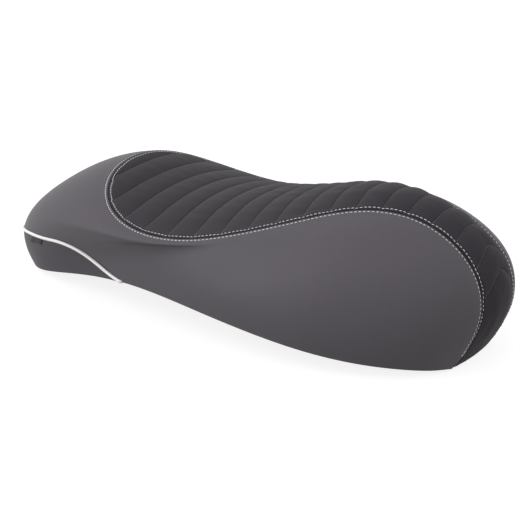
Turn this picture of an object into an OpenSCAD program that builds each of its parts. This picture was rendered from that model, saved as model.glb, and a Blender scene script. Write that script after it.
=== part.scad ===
// Scooter sport seat: moulded pan, foam, channelled centre panel, U-shaped side cover,
// rear skirt with piping, and the pan's hinge, latch striker and rubber buffers.
// Millimetres. X runs from the tail (-) to the nose (+), +Z is up, Y = 0 is the plane of symmetry.
// The seat lies as on a bench: the hem of the tail and the hem of the nose touch Z = 0.

/* [Overall] */
// Length of the seat from tail to nose
seat_length = 714; // [644:5:764]
// Greatest width of the seat
seat_width = 303; // [273:5:333]
// Height of the hump behind the nose
seat_height = 188; // [173:5:208]

/* [Upholstery] */
// Thickness of the vinyl of the side cover and the rear skirt
cover_t = 1.6; // [1.2:0.1:2]
// Width of the cover that is turned under the rim
hem_width = 15; // [12:0.5:15]
// Gap left at each side of a seam between two panels
seam_gap = 0.15; // [0.1:0.05:0.2]
// Gap between the covers and the foam
foam_gap = 0.7; // [0.6:0.05:0.8]

/* [Channels] */
// Distance from one stitched channel line to the next
channel_pitch = 32; // [30:0.5:34]
// Number of stitched channel lines
channel_count = 18; // [16:1:18]
// Distance from the rear end of the centre panel to the first line
first_channel = 19; // [17:0.5:22]
// Height of a padded channel above its stitched line
channel_puff = 3.5; // [2:0.25:4.5]
// How far the lines on the nose sweep forward to the seams, in stations of the seam rail
nose_bow = 0.5; // [0.3:0.05:0.55]
// How far the other lines lag in the middle, in stations of the seam rail
line_lag = 0.1; // [0.04:0.02:0.14]

/* [Piping and tag] */
// Diameter of the piping cord
piping_d = 3.2; // [2.6:0.2:4]
// Share of the side below the seam at which the piping crosses the tail
piping_level = 0.735; // [0.71:0.005:0.76]
// Station of the rim at which the piping leaves its level and sweeps down
piping_leave = 2.55; // [2.45:0.05:2.65]
// How far the axis of the piping stands out of the cover
piping_proud = 0.4; // [0.2:0.1:0.6]
// Length of the blank fabric tag along the piping
tag_width = 27; // [20:1:32]
// Height of the tag below the piping
tag_length = 11; // [8:1:12]
// Thickness of the tag
tag_t = 0.8; // [0.6:0.1:1.2]

/* [Pan] */
// Wall thickness of the moulded pan
pan_t = 3; // [2.5:0.25:3.5]
// Width of the flange that the hem is stapled to
flange_width = 15; // [14:0.5:16]
// Height of the underside of the deck above the underside of the flange
deck_rise = 18; // [16:0.5:20]
// Depth of the ribs below the deck
rib_depth = 6; // [5:0.5:8]
// Thickness of the ribs
rib_t = 2.4; // [2:0.2:3]
// Diameter of the drain holes
drain_d = 10; // [8:1:12]

/* [Hinge] */
// Distance from the nose rim back to the hinge plate's centre
hinge_back = 53; // [51:1:57]
// Bore of the hinge ears
hinge_bore_d = 8; // [6:0.5:9]
// Outer radius of the hinge ears
ear_r = 7.75; // [7.25:0.25:7.75]
// Clear gap between the hinge ears
ear_gap = 38; // [34:1:42]
// Thickness of the hinge steel
hinge_t = 2.5; // [2:0.25:3]
// Height of the hinge axis above the floor: the pin passes below the rim of the covers
hinge_axis_z = 8; // [7.75:0.25:8.5]
// Height of the hinge plate above the ears' round ends
ear_neck = 1.5; // [1:0.25:2.5]

/* [Latch striker] */
// Distance from the tail rim forward to the striker
striker_in = 84; // [78:1:90]
// Diameter of the striker's wire
striker_d = 7; // [6:0.5:8]
// Clear width inside the striker's loop
striker_gap = 26; // [22:1:30]
// Clear height inside the striker's loop
striker_clear = 13; // [11:0.5:14]
// Height of the loop's lowest point above the floor
striker_low = 2; // [1.5:0.5:3]
// Thickness of the striker plate
striker_t = 3; // [2.5:0.25:3.5]

/* [Buffers] */
// Diameter of a rubber buffer at its root
buffer_d = 26; // [22:1:28]
// Diameter of a buffer's foot
buffer_foot_d = 18; // [15:1:20]
// Height of a buffer below its boss
buffer_h = 14; // [12:0.5:16]
// Distance of the rear buffers in from the rim
rear_buffer_in = 38; // [35:1:44]
// Distance of the front buffers in from the rim
front_buffer_in = 52; // [46:1:58]

/* [Fasteners] */
// Thread diameter of the bolts
bolt_d = 6; // [5:0.5:6]
// Width across flats of the bolt heads
bolt_af = 10; // [9:0.5:11]
// Height of a bolt head
bolt_head = 4; // [3.5:0.25:5]
// Radial clearance of a bolt in its plate
bolt_play = 0.3; // [0.2:0.05:0.4]
// Outer diameter of the threaded inserts
insert_d = 9; // [8.5:0.5:10]

/* [Hidden] */
$fn = 48;

// The rails are drawn at this size and stretched to the seat's own.
drawn_size = [714, 303, 188];
stretch = [seat_length / drawn_size.x, seat_width / drawn_size.y, seat_height / drawn_size.z];

// Control points of the seam between centre panel and side cover, for the +Y half:
// from the middle of the tail, round the rider's dip, past the hump, to the nose rim.
seam_rail = [[-182, 0, 166], [-172, 68, 155], [-135, 115, 130], [-75, 131, 114],
    [-8, 125, 115], [57, 104, 131], [121, 79, 152], [181, 54, 172], [239, 35, 174],
    [293, 31, 157], [337, 35, 122], [351, 39, 68], [319, 50, 2]];
// Control points of the lower rim, for the +Y half, from the tail to the nose.
rim_rail = [[-340, 0, 0], [-330, 54, 0], [-284, 92, 6], [-211, 104, 23], [-134, 115, 36],
    [-54, 130, 40], [29, 143, 36], [105, 149, 30], [175, 146, 23], [235, 129, 16],
    [280, 104, 11], [309, 77, 6], [319, 50, 2]];
// Height of the centre panel's crown above its two seams, at the same stations.
crown_rail = [-5, 10, 19, 26, 27, 22.5, 18.5, 16.5, 15, 14, 15, 13, 4];
// The shape of the side between seam and rim, at every second station:
// heading of the bulge, then how far it is pulled out and down below the seam,
// and out and up above the rim, as shares of the distance from seam to rim.
bulge_heading = [180, 156, 109, 90, 78, 55, 30];
seam_out = [0.41, 0.35, 0.25, 0.24, 0.27, 0.23, 0.05];
seam_down = [0.05, 0.06, 0.1, 0.12, 0.08, 0.09, 0.23];
rim_out = [0.32, 0.14, 0, 0.07, 0.13, 0.13, 0.06];
rim_up = [0.14, 0.42, 0.5, 0.42, 0.4, 0.39, 0.32];
last = len(seam_rail) - 1;
crown_power = 2.2;
step = 0.02;

function stretched(p) = [p.x * stretch.x, p.y * stretch.y, p.z * stretch.z];
seam_points = [for (p = seam_rail) stretched(p)];
rim_points = [for (p = rim_rail) stretched(p)];
crown_points = [for (h = crown_rail) h * stretch.z];

function unit(v) = v / norm(v);
function mirrored(p) = is_num(p) ? p : [p.x, -p.y, p.z];
function mix(a, b, f) = a + (b - a) * f;
function control(v, i) = i < 0 ? mirrored(v[-i]) : i > last ? 2 * v[last] - v[last - 1] : v[i];
// Cubic B-spline along a rail; negative values of t give the -Y half.
function rail(v, t) = t < 0 ? mirrored(rail(v, -t)) :
    let (k = min(floor(t), last - 1), f = t - k)
    (pow(1 - f, 3) * control(v, k - 1) + (3 * pow(f, 3) - 6 * f * f + 4) * control(v, k)
    + (-3 * pow(f, 3) + 3 * f * f + 3 * f + 1) * control(v, k + 1)
    + pow(f, 3) * control(v, k + 2)) / 6;
// Smooth curve through evenly spaced values; odd turns the mirrored values about the first.
function through(v, t, odd = false) =
    let (n = len(v) - 1, u = t / last * n, k = min(floor(u), n - 1), f = u - k,
        p0 = k > 0 ? v[k - 1] : odd ? 2 * v[0] - v[1] : v[1], p1 = v[k], p2 = v[k + 1],
        p3 = k + 2 > n ? 2 * v[n] - v[n - 1] : v[k + 2])
    p1 + 0.5 * f * (p2 - p0 + f * (2 * p0 - 5 * p1 + 4 * p2 - p3 + f * (3 * (p1 - p2) + p3 - p0)));
// The four Bezier points of the side's section at t, from the seam down to the rim.
function section(t) =
    let (c = rail(seam_points, t), r = rail(rim_points, t), d = norm(r - c),
        a = through(bulge_heading, t, true), out = [cos(a), sin(a), 0])
    [c, c + d * (out * through(seam_out, t) - [0, 0, through(seam_down, t)]),
        r + d * (out * through(rim_out, t) + [0, 0, through(rim_up, t)]), r];
// Point of the side surface at station t and share q of the way from seam to rim.
function side_at(t, q) = t < 0 ? mirrored(side_at(-t, q)) : let (b = section(t))
    pow(1 - q, 3) * b[0] + 3 * q * pow(1 - q, 2) * b[1] + 3 * q * q * (1 - q) * b[2]
    + pow(q, 3) * b[3];
function side_normal(t, q) =
    unit(cross(side_at(t + step, q) - side_at(t - step, q), side_at(t, q + step) - side_at(t, q - step)));
// Point of the centre surface at station t and share v from the -Y seam (-1) to the +Y seam (1).
function centre_at(t, v) =
    let (c = rail(seam_points, t), d = rail(seam_points, t + step) - rail(seam_points, t - step),
        n = unit([-d.z, 0, d.x]), h = rail(crown_points, t) * (1 - pow(abs(v), crown_power)))
    [c.x, c.y * v, c.z] + n * h;
function centre_normal(t, v) =
    unit(cross(centre_at(t + step, v) - centre_at(t - step, v),
        centre_at(t, v + step) - centre_at(t, v - step)));
// Share of the side at which the piping runs: level round the tail, then an S down to the rim.
function piping_q(t) =
    let (f = min(1, max(0, (abs(t) - piping_leave) / (piping_end + piping_flat - piping_leave))))
    mix(piping_level, 1, f * f * (3 - 2 * f));

// Distance along the centre panel's middle line, as a table of [distance, t].
first_t = 0.06;
middle_ts = [for (i = [0:119]) mix(first_t, last, i / 119)];
middle_steps = [for (i = [1:119]) norm(centre_at(middle_ts[i], 0) - centre_at(middle_ts[i - 1], 0))];
middle_run = [for (i = 0, s = 0; i <= 119; s = s + (i < 119 ? middle_steps[i] : 0), i = i + 1) s];
function t_at(d) = lookup(d, [for (i = [0:119]) [middle_run[i], middle_ts[i]]]);
function run_at(t) = lookup(t, [for (i = [0:119]) [middle_ts[i], middle_run[i]]]);
middle_length = middle_run[119];

// Rows that all covers and the foam share, by their distance along the middle line: half a
// channel apart, with a few more behind the first line and below the last.
half_lines = 2 * (channel_count - 1);
last_line = first_channel + half_lines * channel_pitch / 2;
rear_ds = [for (i = [0:3]) run_at(mix(first_t, t_at(first_channel), pow(i / 4, 0.9)))];
line_ds = [for (i = [0:half_lines]) first_channel + i * channel_pitch / 2];
nose_count = 4;
nose_ds = [for (i = [1:nose_count]) mix(last_line, middle_length, i / nose_count)];
row_ds = concat(rear_ds, line_ds, nose_ds);
row_top = len(row_ds) - 1;
first_line = len(rear_ds);

// The last lines on the nose sweep forward to the seams, the others lag a little in the middle.
straight_lines = 14;
bow_start = first_channel + channel_pitch * min(straight_lines, channel_count - 3);
function bow(d) = nose_bow * pow(sin(180 * max(0, (d - bow_start) / (middle_length - bow_start))), 2);
function lag(d) = line_lag * sin(180 * min(1, d / bow_start));
// Stations of the rows at the seams, and of row i at column share v of the centre.
rows = [for (d = row_ds) t_at(d) + bow(d)];
function centre_t(i, v) = rows[i] - (bow(row_ds[i]) + lag(row_ds[i])) * (1 - pow(abs(v), 1.5));
// The piping comes down to the rim at this row.
piping_row = first_line + 10;
piping_end = rows[piping_row];
// How far beyond that row the S would flatten out, in stations.
piping_flat = 0.25;

// The centre panel and its columns.
centre_vs = [-1, -0.93, -0.78, -0.52, -0.26, 0, 0.26, 0.52, 0.78, 0.93, 1];
centre_top = len(centre_vs) - 1;
function edge_fade(v) = 1 - pow(abs(v), 8);
// Mitre at a seam: the direction halfway between the two panels' normals.
function mitre(n1, n2) = let (m = unit(n1 + n2)) m / max(0.5, m * n1);
// Surface point of the centre at row i and column j, pulled back by gap from the seam.
function centre_point(i, j, gap) = let (v = centre_vs[j], t = centre_t(i, v))
    abs(v) < 1 ? centre_at(t, v) : side_at(v * t, 0) - gap * seam_out_dir(v * t);
function centre_dir(i, j) = let (v = centre_vs[j], t = centre_t(i, v))
    abs(v) < 1 ? centre_normal(t, v) : seam_mitre(v * t);
function seam_mitre(t) = t < 0 ? mirrored(seam_mitre(-t)) :
    mitre(centre_normal(t, 1), side_normal(t, 0.02));
function seam_out_dir(t) = t < 0 ? mirrored(seam_out_dir(-t)) :
    unit(cross(seam_mitre(t), rail(seam_points, t + step) - rail(seam_points, t - step)));
// How far a channel row stands below the puffed surface, from 0 at the crown to 1 in the line.
function line_depth(d) =
    let (phase = (d - first_channel) / channel_pitch, wave = pow(abs(sin(180 * phase)), 0.6))
    d < first_channel - channel_pitch / 2 ? 0
    : d > last_line + channel_pitch / 2 ? 0 : 1 - wave;
function nose_fade(d) = min(1, max(0, (middle_length - d) / channel_pitch));
function rear_fade(d) = min(1, d / (first_channel - 4));
// Padding left under the panel at distance d and column share v.
function padding(d, v) = channel_puff * edge_fade(v) * nose_fade(d) * rear_fade(d);
centre_grid = [for (i = [0:row_top]) [for (j = [0:centre_top]) centre_point(i, j, seam_gap)]];
centre_dirs = [for (i = [0:row_top]) [for (j = [0:centre_top]) centre_dir(i, j)]];

// Closed sheet between two point grids of the same size, outer side first.
// collapse gives the number of columns used in each row, the rest is left out.
module sheet(outer, inner, used) {
    rows_n = len(outer);
    cols_n = len(outer[0]);
    total = rows_n * cols_n;
    function at(i, j) = i * cols_n + min(j, used[i] - 1);
    function tri(a, b, c) = a != b && b != c && a != c ? [[a, b, c]] : [];
    function quad(a, b, c, d) = concat(tri(a, b, c), tri(a, c, d));
    points = concat([for (r = outer) each r], [for (r = inner) each r]);
    top = [for (i = [0:rows_n - 2]) for (j = [0:cols_n - 2])
        each quad(at(i, j), at(i, j + 1), at(i + 1, j + 1), at(i + 1, j))];
    under = [for (f = top) [f[2] + total, f[1] + total, f[0] + total]];
    sides = [for (i = [0:rows_n - 2]) each concat(
        quad(at(i, 0), at(i + 1, 0), at(i + 1, 0) + total, at(i, 0) + total),
        quad(at(i + 1, cols_n), at(i, cols_n), at(i, cols_n) + total, at(i + 1, cols_n) + total))];
    ends = [for (j = [0:cols_n - 2]) each concat(
        quad(at(0, j + 1), at(0, j), at(0, j) + total, at(0, j + 1) + total),
        at(rows_n - 1, j) == at(rows_n - 1, j + 1) ? [] :
        quad(at(rows_n - 1, j), at(rows_n - 1, j + 1), at(rows_n - 1, j + 1) + total,
            at(rows_n - 1, j) + total))];
    first_end = [for (f = ends) if (f[0] != f[1]) f];
    polyhedron(points, concat(top, under, sides, first_end), convexity = 10);
}

// Rows of the centre panel: each shared row, and one more at each side of a stitched line.
line_shoulder = 0.28;
centre_rows = [for (i = [0:row_top]) let (
        before = i >= first_line - 1 && i < first_line + half_lines,
        on_line = i >= first_line && (i - first_line) % 2 == 0,
        share = on_line ? line_shoulder : 1 - line_shoulder)
    each concat([[i, 0]], before && i >= first_line ? [[i, share]] : [])];
function row_mix(grid, r, j) = r[1] == 0 ? grid[r[0]][j] : mix(grid[r[0]][j], grid[r[0] + 1][j], r[1]);
function row_d(r) = r[1] == 0 ? row_ds[r[0]] : mix(row_ds[r[0]], row_ds[r[0] + 1], r[1]);

module centre_panel() {
    under = [for (r = centre_rows) [for (j = [0:centre_top])
        row_mix(centre_grid, r, j)
        - row_mix(centre_dirs, r, j) * (padding(row_d(r), centre_vs[j]) + cover_t)]];
    outer = [for (r = centre_rows) [for (j = [0:centre_top])
        row_mix(centre_grid, r, j)
        - row_mix(centre_dirs, r, j) * padding(row_d(r), centre_vs[j]) * line_depth(row_d(r))]];
    // The hem under the nose: one row at the corner's inside and one at the hem's edge.
    corner = outer[len(outer) - 1];
    hem_share = 0.8;
    edge = [for (p = corner) [p.x - hem_width, p.y * hem_share, arch(p.x - hem_width)]];
    corner_in = [for (p = corner) [p.x - cover_t, p.y * (1 - cover_t / seat_width), p.z + cover_t]];
    outer_all = concat(outer, [edge]);
    under_all = concat([for (i = [0:len(under) - 2]) under[i]], [corner_in],
        [[for (p = edge) p + [0, 0, cover_t]]]);
    color([0.2, 0.19, 0.21]) sheet(outer_all, under_all, [for (r = outer_all) len(corner)]);
}

// Height of the rim above the floor at any x, from the rim rail itself.
arch_table = [for (i = [0:24]) let (p = rail(rim_points, i / 2)) [p.x, p.z]];
function arch(x) = lookup(x, arch_table);
// Distance of the rim from the middle plane at any x.
plan_table = [for (i = [0:24]) let (p = rail(rim_points, i / 2)) [p.x, p.y]];
function rim_y(x) = lookup(x, plan_table);

// Side cover: shares of the way from seam to its lower edge.
side_shares = [0, 0.1, 0.27, 0.48, 0.7, 0.88, 1];
side_top = len(side_shares) - 1;
hem_shares = [0.5, 1];
end_cut = 0.12;
side_ts = [for (i = [0:row_top]) min(rows[i], last - end_cut)];
signed_rows = both_sides(side_ts);
function rim_in(t) = t < 0 ? mirrored(rim_in(-t)) :
    let (d = rail(rim_points, t + step) - rail(rim_points, t - step)) unit([d.y, -d.x, 0]);
function piping_point(t) = side_at(t, chord_q(t));
// Share of the side that the cord and a seam gap take up on each side of the cord's axis,
// measured square to the cord.
function piping_room(t) = let (q = chord_q(t),
        down = (side_at(t, q + step) - side_at(t, q - step)) / (2 * step),
        along = unit(piping_point(t + step) - piping_point(t - step)))
    (piping_d / 2 + seam_gap) / norm(cross(down, along));
function in_tail(t) = abs(t) < piping_end + step;
function side_end(t) = in_tail(t) ? chord_q(t) - piping_room(t) : 1;
function hem_point(t, s) = let (p = side_at(t, 1) + rim_in(t) * s) [p.x, p.y, arch(p.x)];
// Side point number j at station t, going on under the rim past the last share.
function cover_point(t, j) = j > side_top ? hem_point(t, hem_width * hem_shares[j - side_top - 1])
    : j == 0 ? side_at(t, 0) + seam_gap * seam_out_dir(t)
    : side_at(t, side_shares[j] * side_end(t));
function cover_dir(t, j) = j > side_top ? [0, 0, -1]
    : j == 0 ? seam_mitre(t)
    : j == side_top && !in_tail(t) ? rim_mitre(t)
    : j == side_top && abs(t) > piping_end - step ? hem_start(t)
    : side_normal(t, side_shares[j] * side_end(t));
// Where the piping meets the rim, the cover's inner edge comes down to the hem's upper face.
function hem_start(t) = let (p = cover_point(t, side_top), q = p - cover_t * side_normal(t, side_end(t)))
    (p - [q.x, q.y, arch(q.x) + cover_t]) / cover_t;
function rim_mitre(t) = mitre(side_normal(t, 0.98), [0, 0, -1]);
function cover_used(t) = side_top + 1 + (in_tail(t) ? 0 : len(hem_shares));

module side_cover() {
    cols = side_top + len(hem_shares);
    outer = [for (t = signed_rows) [for (j = [0:cols]) cover_point(t, j)]];
    under = [for (i = [0:len(signed_rows) - 1]) [for (j = [0:cols])
        outer[i][j] - cover_dir(signed_rows[i], j) * cover_t]];
    color([0.4, 0.38, 0.41]) sheet(outer, under, [for (t = signed_rows) cover_used(t)]);
}

// Rear skirt: from the piping to the rim and under it.
skirt_shares = [0, 0.35, 0.7, 1];
skirt_top = len(skirt_shares) - 1;
// Share of the last row's step at which the piping cord ends. The skirt ends one row before.
cord_stop = 0.85;
tail_ts = [for (i = [0:piping_row - 1]) rows[i]];
function both_sides(ts) = concat([for (i = [len(ts) - 1:-1:0]) -ts[i]], ts);
skirt_rows = both_sides(tail_ts);
cord_rows = both_sides(concat(tail_ts, [mix(rows[piping_row - 1], piping_end, cord_stop)]));
// The piping runs straight from each row to the next.
function chord_q(t) = let (a = rows[piping_row - 1], q = piping_q(a))
    abs(t) <= a ? piping_q(t) : mix(q, 1, (abs(t) - a) / (piping_end - a));
function skirt_q(t, j) = mix(chord_q(t) + piping_room(t), 1, skirt_shares[j]);

module rear_skirt() {
    cols = skirt_top + len(hem_shares);
    outer = [for (t = skirt_rows) [for (j = [0:cols])
        j > skirt_top ? hem_point(t, hem_width * hem_shares[j - skirt_top - 1])
        : side_at(t, skirt_q(t, j))]];
    under = [for (i = [0:len(skirt_rows) - 1]) let (t = skirt_rows[i]) [for (j = [0:cols])
        outer[i][j] - cover_t * (j > skirt_top ? [0, 0, -1]
        : j == skirt_top ? rim_mitre(t) : side_normal(t, skirt_q(t, j)))]];
    color([0.34, 0.33, 0.35]) sheet(outer, under, [for (t = skirt_rows) cols + 1]);
}

// Closed tube of round section through a list of centres, each with its own up direction.
module tube(path, ups, r, sides) {
    n = len(path);
    function heading(i) = unit(path[min(i + 1, n - 1)] - path[max(i - 1, 0)]);
    rings = [for (i = [0:n - 1]) let (a = heading(i), u = unit(ups[i] - a * (ups[i] * a)), w = cross(a, u))
        each [for (k = [0:sides - 1]) path[i] + r * (u * cos(360 * k / sides) + w * sin(360 * k / sides))]];
    walls = [for (i = [0:n - 2]) for (k = [0:sides - 1]) let (l = (k + 1) % sides)
        each [[i * sides + k, (i + 1) * sides + l, i * sides + l],
            [i * sides + k, (i + 1) * sides + k, (i + 1) * sides + l]]];
    caps = [[for (k = [0:sides - 1]) k], [for (k = [sides - 1:-1:0]) (n - 1) * sides + k]];
    polyhedron(rings, concat(walls, caps), convexity = 10);
}

module piping_cord() {
    ups = [for (t = cord_rows) side_normal(t, chord_q(t))];
    path = [for (i = [0:len(ups) - 1]) side_at(cord_rows[i], chord_q(cord_rows[i])) + piping_proud * ups[i]];
    color([0.92, 0.92, 0.9]) tube(path, ups, piping_d / 2, 8);
}

// Blank tag: a small strip that hangs from the piping seam on the -Y side of the tail.
tag_t_middle = -2.08;
tag_columns = 4;
module label_tag() {
    along = norm(side_at(tag_t_middle + step, 0.8) - side_at(tag_t_middle - step, 0.8)) / (2 * step);
    down = norm(side_at(tag_t_middle, 1) - side_at(tag_t_middle, 0));
    q0 = piping_q(tag_t_middle) + 1.5 * piping_room(tag_t_middle);
    lift = 0.3;
    function spot(i, j, h) = let (t = tag_t_middle + (i / tag_columns - 0.5) * tag_width / along,
        q = q0 + j * tag_length / 2 / down) side_at(t, q) + h * side_normal(t, q);
    outer = [for (i = [0:tag_columns]) [for (j = [0:2]) spot(i, j, lift + tag_t)]];
    under = [for (i = [0:tag_columns]) [for (j = [0:2]) spot(i, j, lift)]];
    color([0.12, 0.12, 0.13]) sheet(outer, under, [for (r = outer) 3]);
}

// Foam: follows the covers from inside, and the pan from above.
flange_low = cover_t + 0.3;
flange_high = flange_low + pan_t;
deck_low = flange_low + deck_rise;
deck_high = deck_low + pan_t;
pan_inset = cover_t + 0.6;
foam_inset = pan_inset + flange_width - pan_t;
foam_depth = cover_t + foam_gap;
foam_last_t = 11.3;
foam_rows = [for (i = [0:row_top]) if (rows[i] < foam_last_t) i];
// Inner point of the covers at station t and share q, at the foam's depth.
function foam_skin(t, q) = side_at(t, q) - foam_depth * side_normal(t, q);
foam_last_q = side_shares[side_top - 1];
// A point held above the pan's flange.
function above_pan(p) = [p.x, p.y, max(p.z, arch(p.x) + flange_high + foam_gap)];
// Points of the foam's side at station t: on the same columns as the covers, then straight
// down towards the rim until they meet the level of the flange.
function foam_side(t) = let (
        low_q = in_tail(t) ? skirt_q(t, skirt_top - 1) : foam_last_q,
        a = foam_skin(t, low_q), b = side_at(t, 1) - foam_depth * rim_mitre(t),
        level = arch(b.x) + flange_high + foam_gap,
        share = min(1, max(0.1, (a.z - level) / (a.z - b.z))), end = mix(a, b, share))
    concat([side_at(t, 0) - foam_depth * seam_mitre(t)],
        [for (j = [1:side_top - 1]) foam_skin(t, side_shares[j] * side_end(t))],
        in_tail(t) ? [for (p = [foam_skin(t, side_end(t)), foam_skin(t, skirt_q(t, 1)), a]) above_pan(p)]
        : [for (f = [0.25, 0.5, 0.75]) mix(a, end, f)],
        [[end.x, end.y, arch(end.x) + flange_high + foam_gap]]);
nose_hollow = 6;
function foam_centre(i, j) = centre_point(i, j, 0)
    - centre_dirs[i][j] * (padding(row_ds[i], centre_vs[j]) + foam_depth);
function foam_under(t, s, h) = let (p = side_at(t, 1) + rim_in(t) * s) [p.x, p.y, arch(p.x) + h];
foam_side_top = side_top + 3;
function foam_ring(i) = let (t = rows[i]) concat(
    [foam_under(-t, foam_inset, deck_high + foam_gap), foam_under(-t, foam_inset, flange_high + foam_gap)],
    [for (j = [foam_side_top:-1:1]) foam_side(-t)[j]],
    [for (j = [0:centre_top]) foam_centre(i, j)],
    [for (j = [1:foam_side_top]) foam_side(t)[j]],
    [foam_under(t, foam_inset, flange_high + foam_gap), foam_under(t, foam_inset, deck_high + foam_gap)]);

module foam_cushion() {
    full = [for (i = foam_rows) foam_ring(i)];
    nose_ring = full[len(full) - 1];
    n = len(nose_ring);
    // The nose end is hollowed a little, clear of the centre panel's lower part.
    middle = [for (a = [0:2]) (nose_ring[0][a] + nose_ring[floor(n / 2)][a]) / 2];
    hollow = [for (p = nose_ring) mix(p, [middle.x, 0, middle.z], 0.12) - [nose_hollow, 0, 0]];
    rings = concat(full, [hollow]);
    m = len(rings);
    skin = [for (i = [0:m - 2]) for (k = [0:n - 1]) let (l = (k + 1) % n)
        each [[i * n + k, i * n + l, (i + 1) * n + l], [i * n + k, (i + 1) * n + l, (i + 1) * n + k]]];
    // Each end is closed by a strip between the ring's near and far points.
    half = floor(n / 2);
    strip = [for (k = [0:half - 1]) each concat([[k, k + 1, n - 1 - k]],
        k + 1 < n - 2 - k ? [[k + 1, n - 2 - k, n - 1 - k]] : [])];
    rear = [for (f = strip) [f[2], f[1], f[0]]];
    front = [for (f = strip) (m - 1) * n * [1, 1, 1] + f];
    color([0.85, 0.8, 0.6])
        polyhedron([for (r = rings) each r], concat(skin, rear, front), convexity = 10);
}

// Pan: plan outlines at a given inset, and bands that follow the arch of the rim.
nose_vs = [0.6, 0, -0.6];
function inset(s, ts) = [for (t = ts) let (p = rail(rim_points, t) + rim_in(t) * s) [p.x, p.y]];
nose_points = [for (v = nose_vs) let (p = centre_at(last, v)) [p.x - pan_inset, p.y]];
deck_rows = [for (t = signed_rows) if (abs(t) < foam_last_t) t];

// Plan of the pan's edge.
module edge_prism() {
    linear_extrude(seat_height) polygon(concat(inset(pan_inset, signed_rows), nose_points));
}

// Plan of what lies further in, cut straight across behind the nose.
module prism(s) {
    n = len(deck_rows) - 1;
    plan = inset(s, deck_rows);
    linear_extrude(seat_height)
        polygon([for (i = [0:n]) i == 0 || i == n ? plan[i] - [nose_hollow, 0] : plan[i]]);
}

band_reach = 30;
module band(low, high) {
    ends = [[arch_table[0].x - band_reach, arch_table[0].y], [arch_table[24].x + band_reach, 0]];
    line = concat([ends[0]], arch_table, [ends[1]]);
    n = len(line);
    rotate([90, 0, 0]) linear_extrude(2 * seat_width, center = true)
        polygon(concat([for (p = line) [p.x, p.y + low]],
            [for (i = [n - 1:-1:0]) [line[i].x, line[i].y + high]]));
}

// A round boss with a flat foot, joined to the deck above it.
module boss(p, foot_z, d) {
    intersection() {
        translate([p.x, p.y, foot_z]) cylinder(h = seat_height, d = d);
        band(-seat_height, deck_low + 0.5);
    }
}

module hole(p, foot_z, d) {
    translate([p.x, p.y, foot_z - 1]) cylinder(h = seat_height, d = d);
}

nose_x = rail(rim_points, last).x;
tail_x = rail(rim_points, 0).x;
hinge_x = nose_x - hinge_back;
hinge_plate_x = 34;
hinge_plate_y = 74;
hinge_bolt_dx = 20;
hinge_bolt_dy = 58;
hinge_foot = hinge_axis_z + ear_r + hinge_t + ear_neck;
striker_x = tail_x + striker_in;
striker_plate_x = 30;
striker_bolt_dy = 60;
striker_plate_y = 80;
striker_foot = striker_low + striker_d + striker_clear + striker_t;
insert_h = 7;
boss_wall = 2.5;
hinge_spots = [for (sx = [-1, 1]) for (sy = [-1, 1])
    [hinge_x + sx * hinge_bolt_dx / 2, sy * hinge_bolt_dy / 2]];
striker_spots = [for (sy = [-1, 1]) [striker_x, sy * striker_bolt_dy / 2]];
buffer_drop = 3;
rear_buffer_x = -170;
front_buffer_x = 130;
function buffer_foot(x) = arch(x * stretch.x) - buffer_drop + buffer_h;
function buffer_spots(x, from_rim) = [for (sy = [-1, 1]) [x, sy * (rim_y(x) - from_rim)]];
rear_spots = buffer_spots(rear_buffer_x * stretch.x, rear_buffer_in);
front_spots = buffer_spots(front_buffer_x * stretch.x, front_buffer_in);
stem_d = 9;
stem_play = 0.1;
drain_xs = [-90, 60, 200];
drain_y = 30;
drain_spots = [for (x = drain_xs) for (sy = [-1, 1]) [x * stretch.x, sy * drain_y]];
cross_ribs = [-210, -120, -45, 20, 95, 165, 225];
long_ribs = [-50, 0, 50];

module ribs() {
    intersection() {
        prism(foam_inset + 1);
        band(deck_low - rib_depth, deck_low + 0.5);
        union() {
            for (x = cross_ribs) {
                translate([x * stretch.x - rib_t / 2, -seat_width, 0])
                    cube([rib_t, 2 * seat_width, seat_height]);
            }
            for (y = long_ribs) {
                translate([cross_ribs[0] * stretch.x, y - rib_t / 2, 0])
                    cube([(cross_ribs[6] - cross_ribs[0]) * stretch.x, rib_t, seat_height]);
            }
        }
    }
}

module seat_pan() {
    color([0.13, 0.13, 0.14])
    difference() {
        union() {
            difference() {
                intersection() {
                    edge_prism();
                    band(flange_low, flange_high);
                }
                prism(pan_inset + flange_width);
            }
            difference() {
                intersection() {
                    prism(foam_inset + foam_gap);
                    band(flange_low, deck_high);
                }
                intersection() {
                    prism(pan_inset + flange_width);
                    band(-seat_height, deck_low);
                }
            }
            ribs();
            for (p = hinge_spots) boss(p, hinge_foot, insert_d + 2 * boss_wall);
            for (p = striker_spots) boss(p, striker_foot, insert_d + 2 * boss_wall);
            for (p = rear_spots) boss(p, buffer_foot(rear_buffer_x), buffer_d + 2);
            for (p = front_spots) boss(p, buffer_foot(front_buffer_x), buffer_d + 2);
        }
        for (p = hinge_spots) insert_hole(p, hinge_foot);
        for (p = striker_spots) insert_hole(p, striker_foot);
        for (p = rear_spots) hole(p, buffer_foot(rear_buffer_x), stem_d);
        for (p = front_spots) hole(p, buffer_foot(front_buffer_x), stem_d);
        for (p = drain_spots) hole(p, 0, drain_d);
    }
}

module insert_hole(p, foot_z) {
    translate([p.x, p.y, foot_z - 1]) cylinder(h = insert_h + 1, d = insert_d + 0.1);
}

module insert(p, foot_z) {
    translate([p.x, p.y, foot_z]) difference() {
        cylinder(h = insert_h, d = insert_d);
        translate([0, 0, -1]) cylinder(h = insert_h + 2, d = bolt_d + 0.1);
    }
}

module threaded_inserts() {
    color([0.75, 0.6, 0.3]) {
        for (p = hinge_spots) insert(p, hinge_foot);
        for (p = striker_spots) insert(p, striker_foot);
    }
}

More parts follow.
